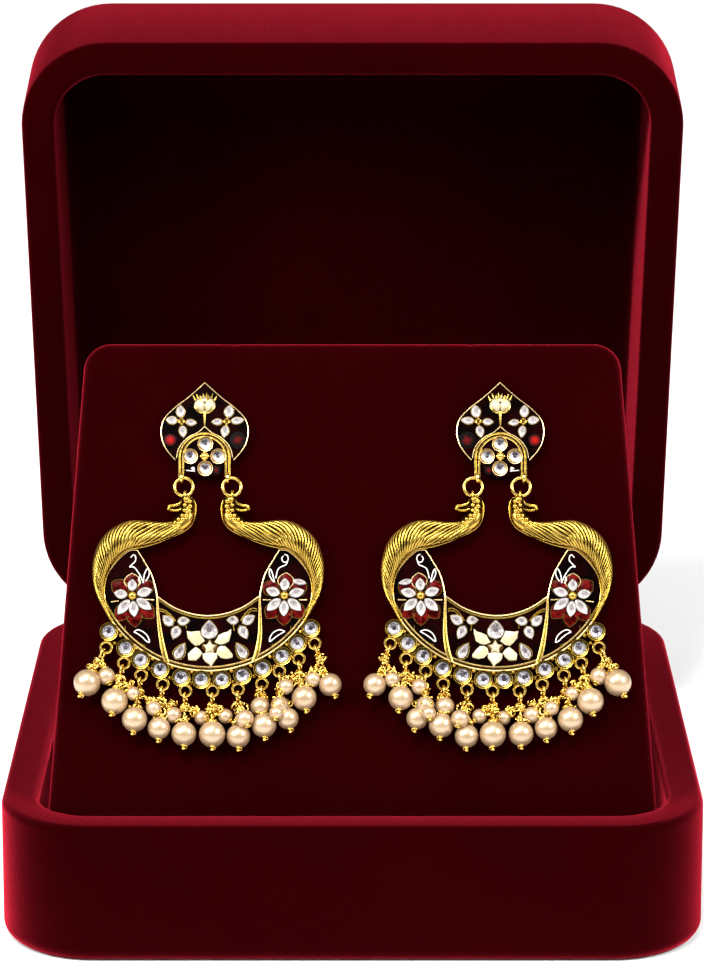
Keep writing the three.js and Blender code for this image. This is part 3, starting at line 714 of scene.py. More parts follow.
def build_box():
    """Base, card and lid; the lid is made flat on its rim, then stood at the hinge"""
    make("box_base_velvet", tray(BASE_HEIGHT, BASE_WALL, BASE_FILLET), VELVET_BASE,
         slot="velvet_base", replaces=("box_base",))
    opened = Matrix.Translation((0, HINGE_Y, HINGE_Z)) @ Matrix.Rotation(math.radians(-90), 4, "X")
    closed = Matrix.Translation((0, -HINGE_Y, RIM_GAP / 2 + LID_HEIGHT)) @ Matrix.Diagonal((1, 1, -1, 1))
    make("box_lid_velvet", tray(LID_HEIGHT, LID_WALL, LID_FILLET), VELVET_LID, opened @ closed, LID,
         slot="velvet_lid", replaces=("box_lid",))
    lean = on_card(0)
    top = lean @ Vector((0, CARD_LENGTH - PROP_DROP, -CARD_THICKNESS / 2))
    low, high = PANEL_THICKNESS + 0.4, CARD_FOOT_Z - 1
    front, rear = CARD_FOOT_Y, CARD_FOOT_Y + BOARD_THICKNESS
    prop = crossboard([(top.y, top.z), (PROP_FOOT_Y, low), (PROP_FOOT_Y + BOARD_THICKNESS, low),
                       (top.y + BOARD_THICKNESS, top.z)], PROP_HALF_WIDTH)
    skirt = crossboard([(front, low), (rear, low), (rear, high), (front, high)], SKIRT_HALF_WIDTH)
    for part in (prop, skirt):
        part.points = [lean.inverted() @ point for point in part.points]
    make("display_card_velvet", card_board().join(prop, skirt), VELVET_CARD, lean,
         slot="velvet_card", replaces=("display_card",))
    for side in ("left", "right"):
        for half in ("base", "lid"):
            frame["nodes"][f"hinge_{side}_{half}_leaf"].material_slots[0].material = HINGE_BRASS


# Crescent

BIRD = (
    # x, y, half width, height, from the crown of the head to the tip of the tail
    (4.2, 10.3, 0.35, 1.3),
    (3.95, 9.5, 1.0, 2.1),
    (3.75, 8.5, 1.15, 2.4),
    (3.7, 7.4, 1.2, 2.5),
    (4.1, 6.0, 1.3, 2.6),
    (5.3, 4.95, 1.35, 2.7),
    (7.0, 4.15, 1.45, 2.9),
    (9.4, 3.65, 1.95, 3.3),
    (11.8, 3.4, 2.4, 3.6),
    (14.1, 3.2, 2.58, 3.8),
    (16.1, 2.45, 2.5, 3.9),
    (18.0, 0.95, 2.3, 3.8),
    (19.2, -0.9, 1.95, 3.6),
    (19.85, -2.8, 1.6, 3.4),
    (20.2, -4.7, 1.22, 3.1),
    (20.2, -6.5, 0.9, 2.7),
    (19.85, -8.4, 0.6, 2.3),
    (19.0, -10.7, 0.42, 2.0),
    (17.7, -13.2, 0.3, 1.7),
)
BIRD_ROW_STEPS = 18
BIRD_UPPER_SIDES = 78
BIRD_LOWER_SIDES = 14
FEATHER_LINES = 8.5
FEATHER_SLOPE = (
    # how steeply the strokes turn inwards, by the share of the way from head to tail
    (0.0, 0.1), (0.3, 0.2), (0.4, 0.45), (0.5, 0.85), (0.62, 1.05), (0.75, 0.8), (0.9, 0.45), (1.0, 0.3),
)
FEATHER_CUT = 0.32
FEATHERS_FROM = 0.27
FEATHERS_TO = 0.95
SMOOTH_RIM = 0.86
NECK_BEADS = (
    # x, y and radius of each bead on the head and neck
    (3.45, 9.3, 0.5), (4.35, 9.75, 0.42), (3.4, 8.35, 0.52), (4.4, 8.6, 0.45), (3.55, 7.45, 0.52),
    (4.45, 7.6, 0.42), (4.05, 6.6, 0.6), (4.85, 6.6, 0.42), (4.75, 5.85, 0.6), (5.55, 5.9, 0.42),
    (5.5, 5.1, 0.56), (6.2, 5.3, 0.42), (6.35, 4.55, 0.5), (7.0, 4.6, 0.38), (7.1, 3.95, 0.45),
    (7.6, 3.4, 0.36),
)
NECK_BEAD_Z = 2.85
HEAD = (4.0, 9.6, 2.2)
HEAD_RADIUS = 0.95
EYE = (4.6, 9.5)
EYE_Z = 2.3
BIRD_LOOP = (4.4, 10.49)
UPPER_BILL = ((4.6, 10.0), (5.1, 9.2), (5.8, 8.85), (6.5, 8.65), (7.1, 8.6), (7.45, 8.3))
LOWER_BILL = ((4.8, 8.15), (5.6, 7.85), (6.4, 7.8), (7.1, 7.95))
BILL_TIP = (7.4, 8.1, 1.75)
RIM_LINE = (
    (3.9, 10.5), (3.0, 10.0), (2.5, 9.1), (2.4, 7.9), (2.65, 6.2), (3.5, 4.7), (5.0, 3.6), (6.9, 2.75),
    (9.0, 1.85), (11.3, 1.1), (13.2, 0.7), (14.5, 0.55), (15.7, -0.15), (17.0, -1.45), (18.0, -3.0),
    (18.8, -4.7), (19.2, -6.6), (19.2, -8.6), (18.6, -10.9),
)

DIVIDERS = {
    # the right one, then the left one as if mirrored; both start alike
    1: ((9.6, -8.2), (9.6, -11.8), (9.6, -15.4), (9.15, -18.6), (8.5, -20.6)),
    -1: ((9.5, -8.2), (9.25, -11.8), (8.8, -15.4), (8.2, -18.6), (7.5, -20.9)),
}
DIVIDER_START = ((13.2, 0.3), (11.9, -1.8), (10.4, -4.6))
DIVIDER_WIDTHS = ((0.0, 0.12), (0.38, 0.13), (0.5, 0.22), (0.7, 0.38), (0.9, 0.52), (1.0, 0.45))
DIVIDER_WIRE_POINTS = 22
HORN_EDGE = ((13.2, 0.3), (14.6, 0.2), (15.9, -0.75), (17.1, -2.0), (18.0, -3.2), (18.8, -4.6),
             (19.15, -6.1), (19.2, -7.8), (18.9, -9.8), (18.2, -11.9), (17.6, -12.9))
TOP_ARC = ((9.5, -8.4), (6.4, -10.5), (3.2, -11.7), (0, -12.1), (-3.2, -11.7), (-6.4, -10.5), (-9.5, -8.4))
PANEL_STEPS = 48
BAND_INSET = 1.05
ENAMEL_THICKNESS = 0.08

BEZEL_RADIUS = 1.76
BEZEL_TOP = 2.35
BEZEL_STEPS = 26
BEZEL_SECTION = (
    # inset from the collar's outside, drop below its top, and depth of the cut, which paints shade on the
    # gold
    (0, 0.2, 0), (0.07, 0.04, 0), (0.17, 0.06, 0), (0.25, 0.3, 0.6),
    (0.33, 0.28, 0.6), (0.39, 0, 0), (0.47, 0.02, 0), (0.52, 0.4, 1),
)
BEZELS = (
    (-18.3, -15.1), (-15.2, -18.2), (-12.4, -20.4), (-8.8, -22.2), (-4.9, -23.7), (-1.2, -24.1),
    (2.6, -24.1), (6.4, -23.3), (10.1, -22.0), (13.7, -19.7), (16.5, -17.3), (19.0, -14.5),
)


def between(table, share):
    """A value read from a table of shares and values"""
    for (low, first), (high, second) in zip(table, table[1:]):
        if share <= high:
            return first + (second - first) * (share - low) / (high - low)
    return table[-1][1]


def rim_point(angle, inset):
    """A point of the crescent's lower rim, drawn inwards by an inset"""
    return ((RIM_X - inset) * math.cos(angle), (RIM_Y - inset) * math.sin(angle))


def rim_arc(start, end, inset, steps=48):
    """Points along the crescent's lower rim between two angles in degrees"""
    return [rim_point(math.radians(start + (end - start) * i / steps), inset) for i in range(steps + 1)]


def feather(turn, twist, x, y):
    """Depth of the feather cut at an angle round the body: fine curved strokes with breaks in them"""
    waver = 0.35 * noise.noise((x * 0.5, y * 0.5, turn))
    place = FEATHER_LINES * (turn / math.pi - twist) + waver
    stroke = math.floor(place)
    away = 2 * abs(place - stroke - 0.5)
    length = noise.noise((stroke * 7.3, x * 0.3, y * 0.3))
    return max(away * 1.25 - 0.25, 0) ** 1.4 * min(max(0.95 + 1.2 * length, 0.35), 1.2)


def bird_body():
    """Body of the right-hand peacock, its feathers cut as curved strokes that turn inwards to the tail,
    with painted shade in the cuts
    """
    rows = curve(BIRD, BIRD_ROW_STEPS)
    turns = [math.pi * (-0.12 + 1.24 * k / BIRD_UPPER_SIDES) for k in range(BIRD_UPPER_SIDES + 1)]
    turns += [math.pi * (1.12 + 0.76 * k / BIRD_LOWER_SIDES) for k in range(1, BIRD_LOWER_SIDES)]
    rings, depths, twist = [], [], 0.0
    for i, (x, y, half, height) in enumerate(rows):
        before, after = rows[max(i - 1, 0)], rows[min(i + 1, len(rows) - 1)]
        along = Vector((after[0] - before[0], after[1] - before[1]))
        share = i / (len(rows) - 1)
        twist += between(FEATHER_SLOPE, share) * along.length / 2 / (math.pi / 2 * (half + height / 2))
        along.normalize()
        start, end = (share - FEATHERS_FROM) / 0.05, (FEATHERS_TO - share) / 0.08
        fade = min(max(start, 0), 1) * min(max(end, 0), 1)
        ring, depth = [], []
        for turn in turns:
            shown = fade if -0.1 * math.pi < turn < SMOOTH_RIM * math.pi else 0
            cut = feather(turn, twist, x, y) * shown
            across = (half - FEATHER_CUT * cut) * math.cos(turn)
            rise = (height / 2 - FEATHER_CUT * cut) * math.sin(turn)
            ring.append((x - along.y * across, y + along.x * across, BACK + height / 2 + rise))
            # The cut's depth also paints shade into the feather grooves
            depth.append(cut)
        rings.append(ring)
        depths.append(depth)
    return Form().skin(rings, depths=depths)


def bird():
    """One peacock, on the earring's right: body, beaded neck, eye, open bill, rim line and loop, with
    painted shade round the beads' feet and the eye and in the bill's gap
    """
    form = bird_body()
    for x, y, radius in NECK_BEADS:
        form.ball((x, y, NECK_BEAD_Z), radius, 14, 8)
        # A dark ring of painted shade round the foot of each bead
        form.ring((x, y, NECK_BEAD_Z - 0.1), radius + 0.08, 0.2, steps=14, sides=5, depth=1.0)
    form.ball(HEAD, HEAD_RADIUS, 18, 10)
    form.ball((*EYE, EYE_Z), 0.34, 12, 8)
    # A half-dark ring of painted shade round the eye
    form.ring((*EYE, EYE_Z + 0.1), 0.46, 0.1, steps=18, sides=6, depth=0.5)
    upper = curve(UPPER_BILL)
    last = len(upper) - 1
    form.line(upper, 1.95, [0.42 - 0.14 * math.sin(math.pi * i / last) for i in range(last + 1)], 12)
    form.line(curve(LOWER_BILL), 1.6, 0.26, 10)
    form.ball(BILL_TIP, 0.4, 14, 8)
    # A dark bar of painted shade in the gap of the open bill
    form.line(((5.0, 8.5), (6.9, 8.2)), 1.45, [0.45, 0.2], 8, depth=1.0)
    form.line(curve(RIM_LINE, 6), 1.75, 0.16, 8)
    form.ring((*BIRD_LOOP, RING_Z), LOOP_RADIUS, LOOP_WIRE, axis=(1, 0, 0), steps=24)
    return form


def divider_line(side):
    """One divider's line: side is 1 for the right one and -1 for the left one"""
    return flipped(even(curve(DIVIDER_START + DIVIDERS[side], 6), PANEL_STEPS), side)


def divider_widths():
    """Half of a divider's width at each point of its line"""
    return [between(DIVIDER_WIDTHS, i / (PANEL_STEPS - 1)) for i in range(PANEL_STEPS)]


def panels():
    """Edges of the three enamel panels: right horn, left horn and middle"""
    horn = even(curve(HORN_EDGE, 6) + rim_arc(-36, -69, BAND_INSET)[1:], PANEL_STEPS)
    top = even(curve(TOP_ARC, 6), PANEL_STEPS)
    bottom = even(rim_arc(-66, -112, BAND_INSET), PANEL_STEPS)
    return (horn, divider_line(1)), (flipped(horn, -1), divider_line(-1)), (top, bottom)


def bezel(form, x, y, radius, top, low=BACK):
    """A collar about a round stone: an outer lip, a groove darkened by painted shade and a thin inner lip
    """
    rings, depths = [lift(disc(x, y, radius, BEZEL_STEPS), low)], [[0] * BEZEL_STEPS]
    for inset, drop, depth in BEZEL_SECTION:
        rings.append(lift(disc(x, y, radius - inset, BEZEL_STEPS), top - drop))
        depths.append([depth] * BEZEL_STEPS)
    return form.skin(rings, depths=depths)


def crescent_gold():
    """Plate, rim band, dividers, collars and the small solder beads between the collars; the depths paint
    shade on the band, its middle groove, the line below the top arc, the beads and, a little, the dividers
    """
    form = Form()
    for one, other in panels():
        form.plate(one, other, BACK, FLOOR - ENAMEL_THICKNESS)
    outer, inner = (rim_arc(-20, -160, inset, 90) for inset in (0.1, BAND_INSET + 0.15))
    form.plate(outer, inner, BACK, 1.66, 0.25)
    form.line(rim_arc(-24, -156, (0.3 + BAND_INSET) / 2, 90), 1.56, 0.2, 8, depth=0.9)
    for side in (1, -1):
        form.tube(lift(divider_line(side), 1.7), divider_widths(), 12, flat=0.55, depth=0.2)
    form.line([(x, y - 0.42) for x, y in curve(TOP_ARC, 8)], 1.62, 0.2, 8, depth=0.35)
    for i, (x, y) in enumerate(BEZELS):
        bezel(form, x, y, BEZEL_RADIUS, BEZEL_TOP)
        if i:
            middle = ((x + BEZELS[i - 1][0]) / 2, (y + BEZELS[i - 1][1]) / 2)
            form.ball((middle[0] * 0.965, middle[1] * 0.945, 1.5), 0.45, 12, 8, depth=0.3)
            form.ball((middle[0] * 1.03, middle[1] * 1.03, 1.2), 0.5, 12, 8, depth=0.4)
    return form


def rim_loops():
    """The wire loops below the collars"""
    form = Form()
    for loop, *_ in DROPS:
        form.ring((*loop, WIRE_Z), 1.03, 0.26, steps=26, sides=10)
    return form


def crescent_lines():
    """Rim wires, the thin edges of the dividers and the line of the top arc"""
    form = Form()
    form.line(rim_arc(-14, -166, 0.3, 72), 1.8, 0.15, 8)
    form.line(rim_arc(-36, -144, BAND_INSET, 60), 1.74, 0.09)
    widths = divider_widths()
    for side in (1, -1):
        line = divider_line(side)
        form.line(line[:DIVIDER_WIRE_POINTS], 1.78, 0.12, 8)
        forked = list(zip(line, widths))[DIVIDER_WIRE_POINTS - 2:]
        for edge in (-1, 1):
            form.line([(x + edge * (width - 0.08), y) for (x, y), width in forked], 1.8, 0.07)
        form.line(flipped(curve(HORN_EDGE, 6), side), 1.75, 0.11, 8)
    form.line(curve(TOP_ARC, 8), 1.85, 0.14, 8)
    return form


# Flowers, sprigs and scrolls of the crescent

HORN_FLOWERS = (
    # centre, then the tips of the white petals and of the red ones behind them
    ((-14.0, -8.35),
     ((-14.1, -5.2), (-10.4, -7.2), (-10.5, -10.9), (-13.6, -12.3), (-16.7, -11.8), (-17.4, -7.8)),
     ((-14.1, -4.1), (-10.2, -5.8), (-10.1, -12.5), (-13.4, -14.2), (-16.8, -13.0), (-17.8, -5.7))),
    ((14.1, -8.3),
     ((14.2, -5.0), (17.8, -7.4), (17.2, -11.1), (14.0, -12.2), (10.9, -11.1), (10.7, -7.1)),
     ((14.5, -4.0), (18.2, -6.2), (17.6, -12.5), (14.0, -13.9), (10.8, -12.5), (10.1, -6.1))),
)
STONE_HEIGHTS = (FLOOR, FLOOR + 0.45, FLOOR + 0.7)
WHITE_PETAL_WIDTH = 1.75
RED_PETAL_WIDTH = 2.9
FLOWER_BALL = 0.8
SIDE_TICKS = (
    ((-10.0, -9.1), (-11.6, -9.0)), ((-17.9, -9.5), (-16.5, -9.3)),
    ((10.1, -9.1), (11.6, -9.1)), ((18.3, -9.1), (16.8, -9.1)),
)
HORN_STEM = ((15.3, -13.9), (15.2, -15.0), (14.2, -16.1), (12.9, -17.0), (11.6, -17.6))
MIDDLE_FLOWER = (0.25, -17.3)
MIDDLE_PETALS = (
    # outlines of the five spiked petals
    ((-0.55, -16.85), (-1.6, -17.65), (-2.3, -17.75), (-3.1, -17.1), (-3.75, -16.3), (-3.85, -15.6),
     (-3.95, -14.95), (-3.2, -15.1), (-1.5, -14.95), (-1.2, -15.9)),
    ((1.15, -17.1), (1.65, -16.4), (2.0, -15.7), (2.8, -15.3), (3.6, -15.1), (4.3, -14.55), (4.3, -15.4),
     (3.9, -16.9), (3.0, -17.4), (2.0, -17.5)),
    ((-1.0, -19.1), (-1.5, -18.4), (-2.25, -17.95), (-3.1, -18.6), (-3.7, -19.3), (-3.6, -20.4),
     (-2.9, -20.5), (-2.2, -20.5), (-1.5, -19.9)),
    ((1.55, -19.1), (1.8, -18.2), (2.3, -17.75), (3.2, -17.8), (3.95, -18.5), (4.6, -19.4), (4.55, -19.95),
     (3.4, -20.2), (2.4, -20.0)),
    ((-1.0, -19.2), (0.3, -18.95), (1.75, -19.15), (1.75, -20.0), (1.3, -20.6), (0.85, -21.3),
     (0.6, -21.95), (0.35, -21.3), (-0.5, -20.7), (-0.95, -20.0)),
)
SPRIG_STONES = (
    # foot and tip of each stone, and its width
    ((-6.5, -13.9), (-8.3, -12.1), 1.7), ((-5.6, -13.2), (-3.4, -13.0), 1.6),
    ((-5.5, -14.1), (-6.4, -16.4), 1.75), ((5.6, -13.0), (3.5, -12.9), 1.55),
    ((6.4, -13.5), (8.6, -12.1), 1.75), ((5.9, -14.0), (7.2, -16.4), 1.7),
)
SPRIG_LEAVES = (
    ((-9.0, -10.8), (-8.1, -11.0), (-7.0, -11.8), (-6.0, -13.0)),
    ((-8.9, -11.2), (-7.9, -11.5), (-6.9, -12.3), (-6.1, -13.1)),
    ((9.0, -10.8), (8.1, -10.7), (7.0, -11.5), (6.0, -13.0)),
    ((9.1, -11.2), (8.0, -11.2), (7.1, -12.0), (6.2, -13.1)),
    ((-4.6, -13.3), (-4.1, -13.9), (-4.0, -14.5)), ((5.1, -13.3), (4.7, -14.0), (4.9, -14.9)),
)
TEARS = (((-5.9, -20.1), (-4.3, -17.3), 2.0), ((7.0, -20.0), (5.3, -17.3), 2.0))
SCROLLS = (
    ((-14.6, -2.9), (-14.1, -2.4), (-13.5, -1.7), (-13.5, -0.9), (-13.9, -0.6), (-14.4, -1.1)),
    ((-14.6, -2.9), (-13.8, -2.9), (-13.1, -3.7), (-12.5, -4.7), (-12.0, -5.9)),
    ((-12.0, -5.9), (-11.9, -4.6), (-11.6, -3.7), (-11.2, -3.2), (-10.9, -3.9), (-11.1, -4.8),
     (-11.6, -5.6)),
    ((-12.6, -4.7), (-12.9, -5.3), (-12.5, -6.0)),
    ((13.9, -0.8), (13.6, -1.3), (13.9, -1.9), (14.5, -1.9), (14.8, -1.3), (14.6, -0.7), (14.1, -0.5)),
    ((14.8, -1.4), (14.4, -2.4), (13.6, -2.8), (13.0, -3.2), (12.7, -4.0), (12.5, -5.0)),
    ((11.4, -3.2), (11.3, -4.1), (11.6, -5.0), (12.2, -5.7), (12.0, -4.6), (11.7, -3.6), (11.4, -3.2)),
    ((-13.7, -15.1), (-13.0, -14.7), (-12.1, -15.0), (-11.2, -15.8), (-10.8, -17.0), (-11.4, -16.8),
     (-12.1, -16.1), (-12.9, -15.5), (-13.7, -15.1)),
    ((14.2, -15.0), (13.2, -14.7), (12.1, -15.2), (11.5, -16.1), (11.4, -16.9), (12.2, -16.3),
     (13.0, -15.7), (14.2, -15.0)),
)


def towards(centre, tip, step):
    """The point a step away from a centre towards a tip"""
    far = math.dist(centre, tip)
    return (centre[0] + (tip[0] - centre[0]) * step / far, centre[1] + (tip[1] - centre[1]) * step / far)


def horn_flowers():
    """The two lotus flowers: red petals with gold lines, white stones over them and a gold ball; painted
    shade darkens the settings, the stems and a ring round each ball's foot
    """
    red, white, lines, settings = Form(), Form(), Form(), Form()
    for centre, tips, red_tips in HORN_FLOWERS:
        for i, tip in enumerate(red_tips):
            petal = (towards(centre, tip, 0.8), tip, RED_PETAL_WIDTH, 1.25, 9)
            red.dome(leaf(*petal), FLOOR - 0.05, FLOOR + 0.15 + 0.02 * i)
            if i == 0:
                lines.surround(petal, 0.04, FLOOR + 0.08, 0.11)
            else:
                settings.surround(petal, 0.04, FLOOR + 0.08, 0.07, depth=0.3)
        for tip in tips:
            petal = (towards(centre, tip, 0.8), tip, WHITE_PETAL_WIDTH)
            white.cut_stone(leaf(*petal), FLOOR, FLOOR + 0.4, FLOOR + 0.62)
            settings.surround(petal, 0.08, FLOOR + 0.2, 0.08, depth=0.5)
        settings.ball((*centre, FLOOR + 0.55), FLOWER_BALL, 20, 12, squash=0.85)
        # A ring of painted shadow round the foot of the ball
        settings.ring((*centre, FLOOR + 0.25), FLOWER_BALL + 0.14, 0.22, steps=20, depth=1.0)
    white.cut_stone(leaf((15.6, -5.5), (18.2, -6.0), 1.1, 0.9), *STONE_HEIGHTS)
    for tick in SIDE_TICKS:
        lines.line(tick, FLOOR + 0.3, [0.16, 0.1])
    for side in (1, -1):
        settings.line(flipped(curve(HORN_STEM), side), FLOOR + 0.05, 0.1, depth=0.3)
    return red, white, lines, settings


def middle_panel():
    """Flower, sprigs and tear stones of the middle panel"""
    x, y = MIDDLE_FLOWER
    ivory, clear, gold = Form(), Form(), Form()
    for outline in MIDDLE_PETALS:
        ivory.slab(outline, FLOOR - 0.05, FLOOR + 0.6, 0.18)
    star_x, star_y = x + 0.1, y - 0.75
    star = []
    for i in range(10):
        angle = math.radians(90 + 36 * i)
        reach = 0.8 if i % 2 else 1.5
        star.append((star_x + reach * math.cos(angle), star_y + reach * math.sin(angle)))
    ivory.dome(star, FLOOR + 0.1, FLOOR + 0.95)
    # A ring of painted shadow round the foot of the star; the settings below get a little painted shade too
    gold.ring((star_x, star_y, FLOOR + 0.15), 1.25, 0.3, steps=20, depth=1.0)
    drop = ((x, y + 0.85), (x, y + 4.35), 3.0, 0.7, 12)
    clear.cut_stone(leaf(*drop), FLOOR, FLOOR + 0.5, FLOOR + 0.85, 0.7, darkest=0.1)
    gold.surround(drop, 0.1, FLOOR + 0.15, 0.1, depth=0.3)
    for foot, tip, width in SPRIG_STONES:
        clear.cut_stone(leaf(foot, tip, width, 0.8), *STONE_HEIGHTS, darkest=0.35)
        gold.surround((foot, tip, width, 0.8), 0.1, FLOOR + 0.2, 0.08, depth=0.2)
    for line in SPRIG_LEAVES:
        gold.line(curve(line), FLOOR + 0.2, 0.13)
    for foot, tip, width in TEARS:
        clear.cut_stone(leaf(foot, tip, width * 0.85, 0.65), *STONE_HEIGHTS, 0.7, darkest=0.2)
        gold.surround((foot, tip, width, 0.65), 0.15, FLOOR + 0.2, 0.12)
    return ivory, clear, gold


def rim_stones():
    """The stones of the twelve collars, each turned its own way"""
    form = Form()
    for x, y in BEZELS:
        outline = disc(x, y, 1.22, 14, form.draw.random())
        form.cut_stone(outline, 1.2, 2.0, 2.4, 0.68, darkest=0.1, painted_glint_below=0.3)
    return form


def scrolls():
    """White enamel scrolls in the horns"""
    form = Form()
    for line in SCROLLS:
        form.line(curve(line, 6), FLOOR + 0.1, 0.11)
    return form


# Stud

STUD_X = -0.8
STUD_OGEE = ((0, 32.05), (-1.3, 30.8), (-3.2, 29.1), (-5.4, 27.4), (-7.2, 25.6), (-7.9, 24.2), (-8.1, 22.5),
             (-7.7, 20.5), (-6.8, 18.9), (-5.4, 17.3))
STUD_LINE = ((0, 23.7), (-1.2, 22.6), (-2.9, 21.7), (-4.2, 20.5), (-4.95, 19.1), (-5.2, 17.7))
STUD_FLOWERS = (
    # centre of each flower, then the tip and width of its petals
    ((-4.3, 24.6), (((-4.6, 27.7), 1.6), ((-7.2, 25.0), 1.45), ((-1.5, 24.3), 1.15), ((-3.9, 21.6), 1.35))),
    ((4.1, 24.6), (((4.8, 27.7), 1.7), ((1.3, 24.5), 1.2), ((7.3, 24.9), 1.3), ((3.6, 21.6), 1.45))),
)
TULIP_PETALS = (
    # foot, tip, width and height of the cup's petals, the back one first
    ((0, 26.9), (0, 29.6), 3.6, 2.4),
    ((-0.3, 26.3), (-1.25, 29.0), 2.3, 2.8), ((0.3, 26.3), (1.25, 29.0), 2.3, 2.8),
)
CROWN = (
    # tips of the tulip's jagged upper edge
    (-2.2, 29.5), (-1.55, 29.75), (-0.9, 29.5), (-0.3, 29.85),
    (0.35, 30.0), (0.75, 29.6), (1.5, 29.9), (2.2, 29.4),
)
TULIP_STALK = ((0.1, 26.2), (0.9, 26.3), (1.6, 26.9), (1.75, 27.6))
ARCH_Y = 17.7
ARCH_BEND_Y = 15.6
ARCH_FOOT_Y = 13.9
ARCH_STEPS = 28
LOOP_X = 4.3
LOOP_Y = 13.91
DISC_Y = 18.0
STUD_STONES = (
    # places of the four round stones from the middle of the disc
    (0.15, 2.25), (-2.65, -0.1), (2.55, -0.1), (0.15, -2.4),
)
GLOWS = (
    # x, y, reach, height and strength of each soft red spot
    (-6.4, 21.1, 1.25, 1.9, 0.75), (6.2, 21.1, 1.6, 1.9, 0.28), (2.2, 15.4, 0.9, 1.92, 0.28),
)
POST_Y = 22
POST_END = -6.9
JUMP_RINGS = (("outer", -4.6), ("inner", 4.3))
JUMP_RING_Y = 12.2
JUMP_RING_RADIUS = 1.71
JUMP_RING_WIRE = 0.33


def arch_wire(form, radius, z):
    """One wire of the arch, from foot to foot"""
    angles = [math.pi * i / ARCH_STEPS for i in range(ARCH_STEPS + 1)]
    path = [(radius, ARCH_FOOT_Y), (radius, ARCH_BEND_Y)]
    path += [(radius * math.cos(angle), ARCH_Y + radius * math.sin(angle)) for angle in angles]
    path += [(-radius, ARCH_BEND_Y), (-radius, ARCH_FOOT_Y)]
    form.line(path, z, 0.24, 10)


def glow(form, x, y, reach, z, strength):
    """A thin patch of colour whose depth fades from its middle to its edge"""
    shares = (1.0, 0.75, 0.5, 0.25, 0.06)
    rings = [lift(disc(x, y, reach * share, 20), z - 0.02 * share) for share in shares]
    return form.skin(rings, depths=[[strength * (1 - share)] * 20 for share in shares])


def stud_enamel():
    """Black ground of the stud and of its round lower disc"""
    left = curve(STUD_OGEE)
    form = Form().slab(left + flipped(left[:0:-1], -1), BACK, 1.85)
    section = ((4.0, BACK), (4.0, 1.75), (3.9, 1.86), (0.2, 1.87))
    return form.skin([lift(disc(0, DISC_Y, radius, 40), z) for radius, z in section])


def stud_lines():
    """Thin pale outline, open at the foot, the inner ogee and the collars"""
    form = Form()
    for side in (1, -1):
        form.line(flipped(curve(STUD_OGEE), side), 1.88, 0.1, 8)
        form.line(flipped(curve(STUD_LINE), side), 1.92, 0.1)
    for x, y in STUD_STONES:
        bezel(form, x, DISC_Y + y, 1.48, 2.65, 1.6)
    return form


def stud_wires():
    """Double wire arch, end loops, the tulip's stalk and the centre bead"""
    form = Form()
    arch_wire(form, 4.0, 2.15)
    arch_wire(form, 4.66, 2.05)
    for side in (1, -1):
        form.ring((side * LOOP_X, LOOP_Y, RING_Z), LOOP_RADIUS, LOOP_WIRE, axis=(1, 0, 0), steps=24)
        form.line(flipped(curve(TULIP_STALK), side), 2.1, 0.2, 8)
    form.tube(((0, 23.7, 2.0), (0, 24.6, 2.15), (0, 26.5, 2.3)), [0.16, 0.22, 0.3], 8)
    form.ball((0, DISC_Y, 2.3), 0.62, 16, 10, squash=0.8)
    for i in range(8):
        angle = math.radians(45 * i)
        reach = 0.5 if i % 2 else 0.62
        form.ball((reach * math.cos(angle), DISC_Y + reach * math.sin(angle), 2.15), 0.3, 10, 6)
    return form


def stud_flowers(gold):
    """White flowers of the stud, with their thin gold settings added to the gold"""
    white = Form()
    for centre, petals in STUD_FLOWERS:
        for tip, width in petals:
            petal = (towards(centre, tip, 0.75), tip, width, 0.9)
            white.cut_stone(leaf(*petal), 1.8, 2.15, 2.4)
            gold.surround(petal, 0.1, 1.95, 0.09, depth=0.15)
        for tip, _ in petals:
            gold.line((towards(centre, tip, 0.35), towards(centre, tip, 0.95)), 2.1, 0.18)
        # Painted shade: a little on the middle ring, and a dark ball in the middle between the petals
        gold.ring((*centre, 2.0), 0.45, 0.2, steps=14, depth=0.2)
        gold.ball((*centre, 1.85), 0.3, 10, 6, depth=1.0)
    return white


def stud_tulip(gold):
    """Ivory cup of the tulip under a jagged crown"""
    ivory = Form()
    for foot, tip, width, top in TULIP_PETALS:
        ivory.dome(leaf(foot, tip, width, 1.35, 10), 1.7, top)
    for x, y in CROWN:
        gold.tube(((x * 0.8, y - 0.95, 2.3), (x, y, 2.2)), [0.26, 0.1], 7)
    # A dark bead of painted shade where the tulip's petals part
    gold.ball((0.0, 28.1, 2.62), 0.2, 8, 5, depth=1.0)
    return ivory


def stud_stones():
    """The four round stones of the disc"""
    form = Form()
    for x, y in STUD_STONES:
        outline = disc(x, DISC_Y + y, 1.1, 12, 0.4 * x)
        form.cut_stone(outline, 1.7, 2.3, 2.65, 0.68, darkest=0.3, painted_glint_below=0.45)
    return form


def stud_marks():
    """Two small white strokes at the disc's lower left"""
    form = Form().line(((-3.4, 15.35), (-2.6, 15.25), (-1.75, 15.2)), 1.95, 0.1)
    return form.line(curve(((-2.5, 15.6), (-2.1, 15.9), (-1.9, 15.6), (-2.3, 15.5)), 4), 1.95, 0.13)


def stud_spots():
    """Red that shows through the dark enamel"""
    form = Form()
    for spot in GLOWS:
        glow(form, *spot)
    return form


# Pearl drops

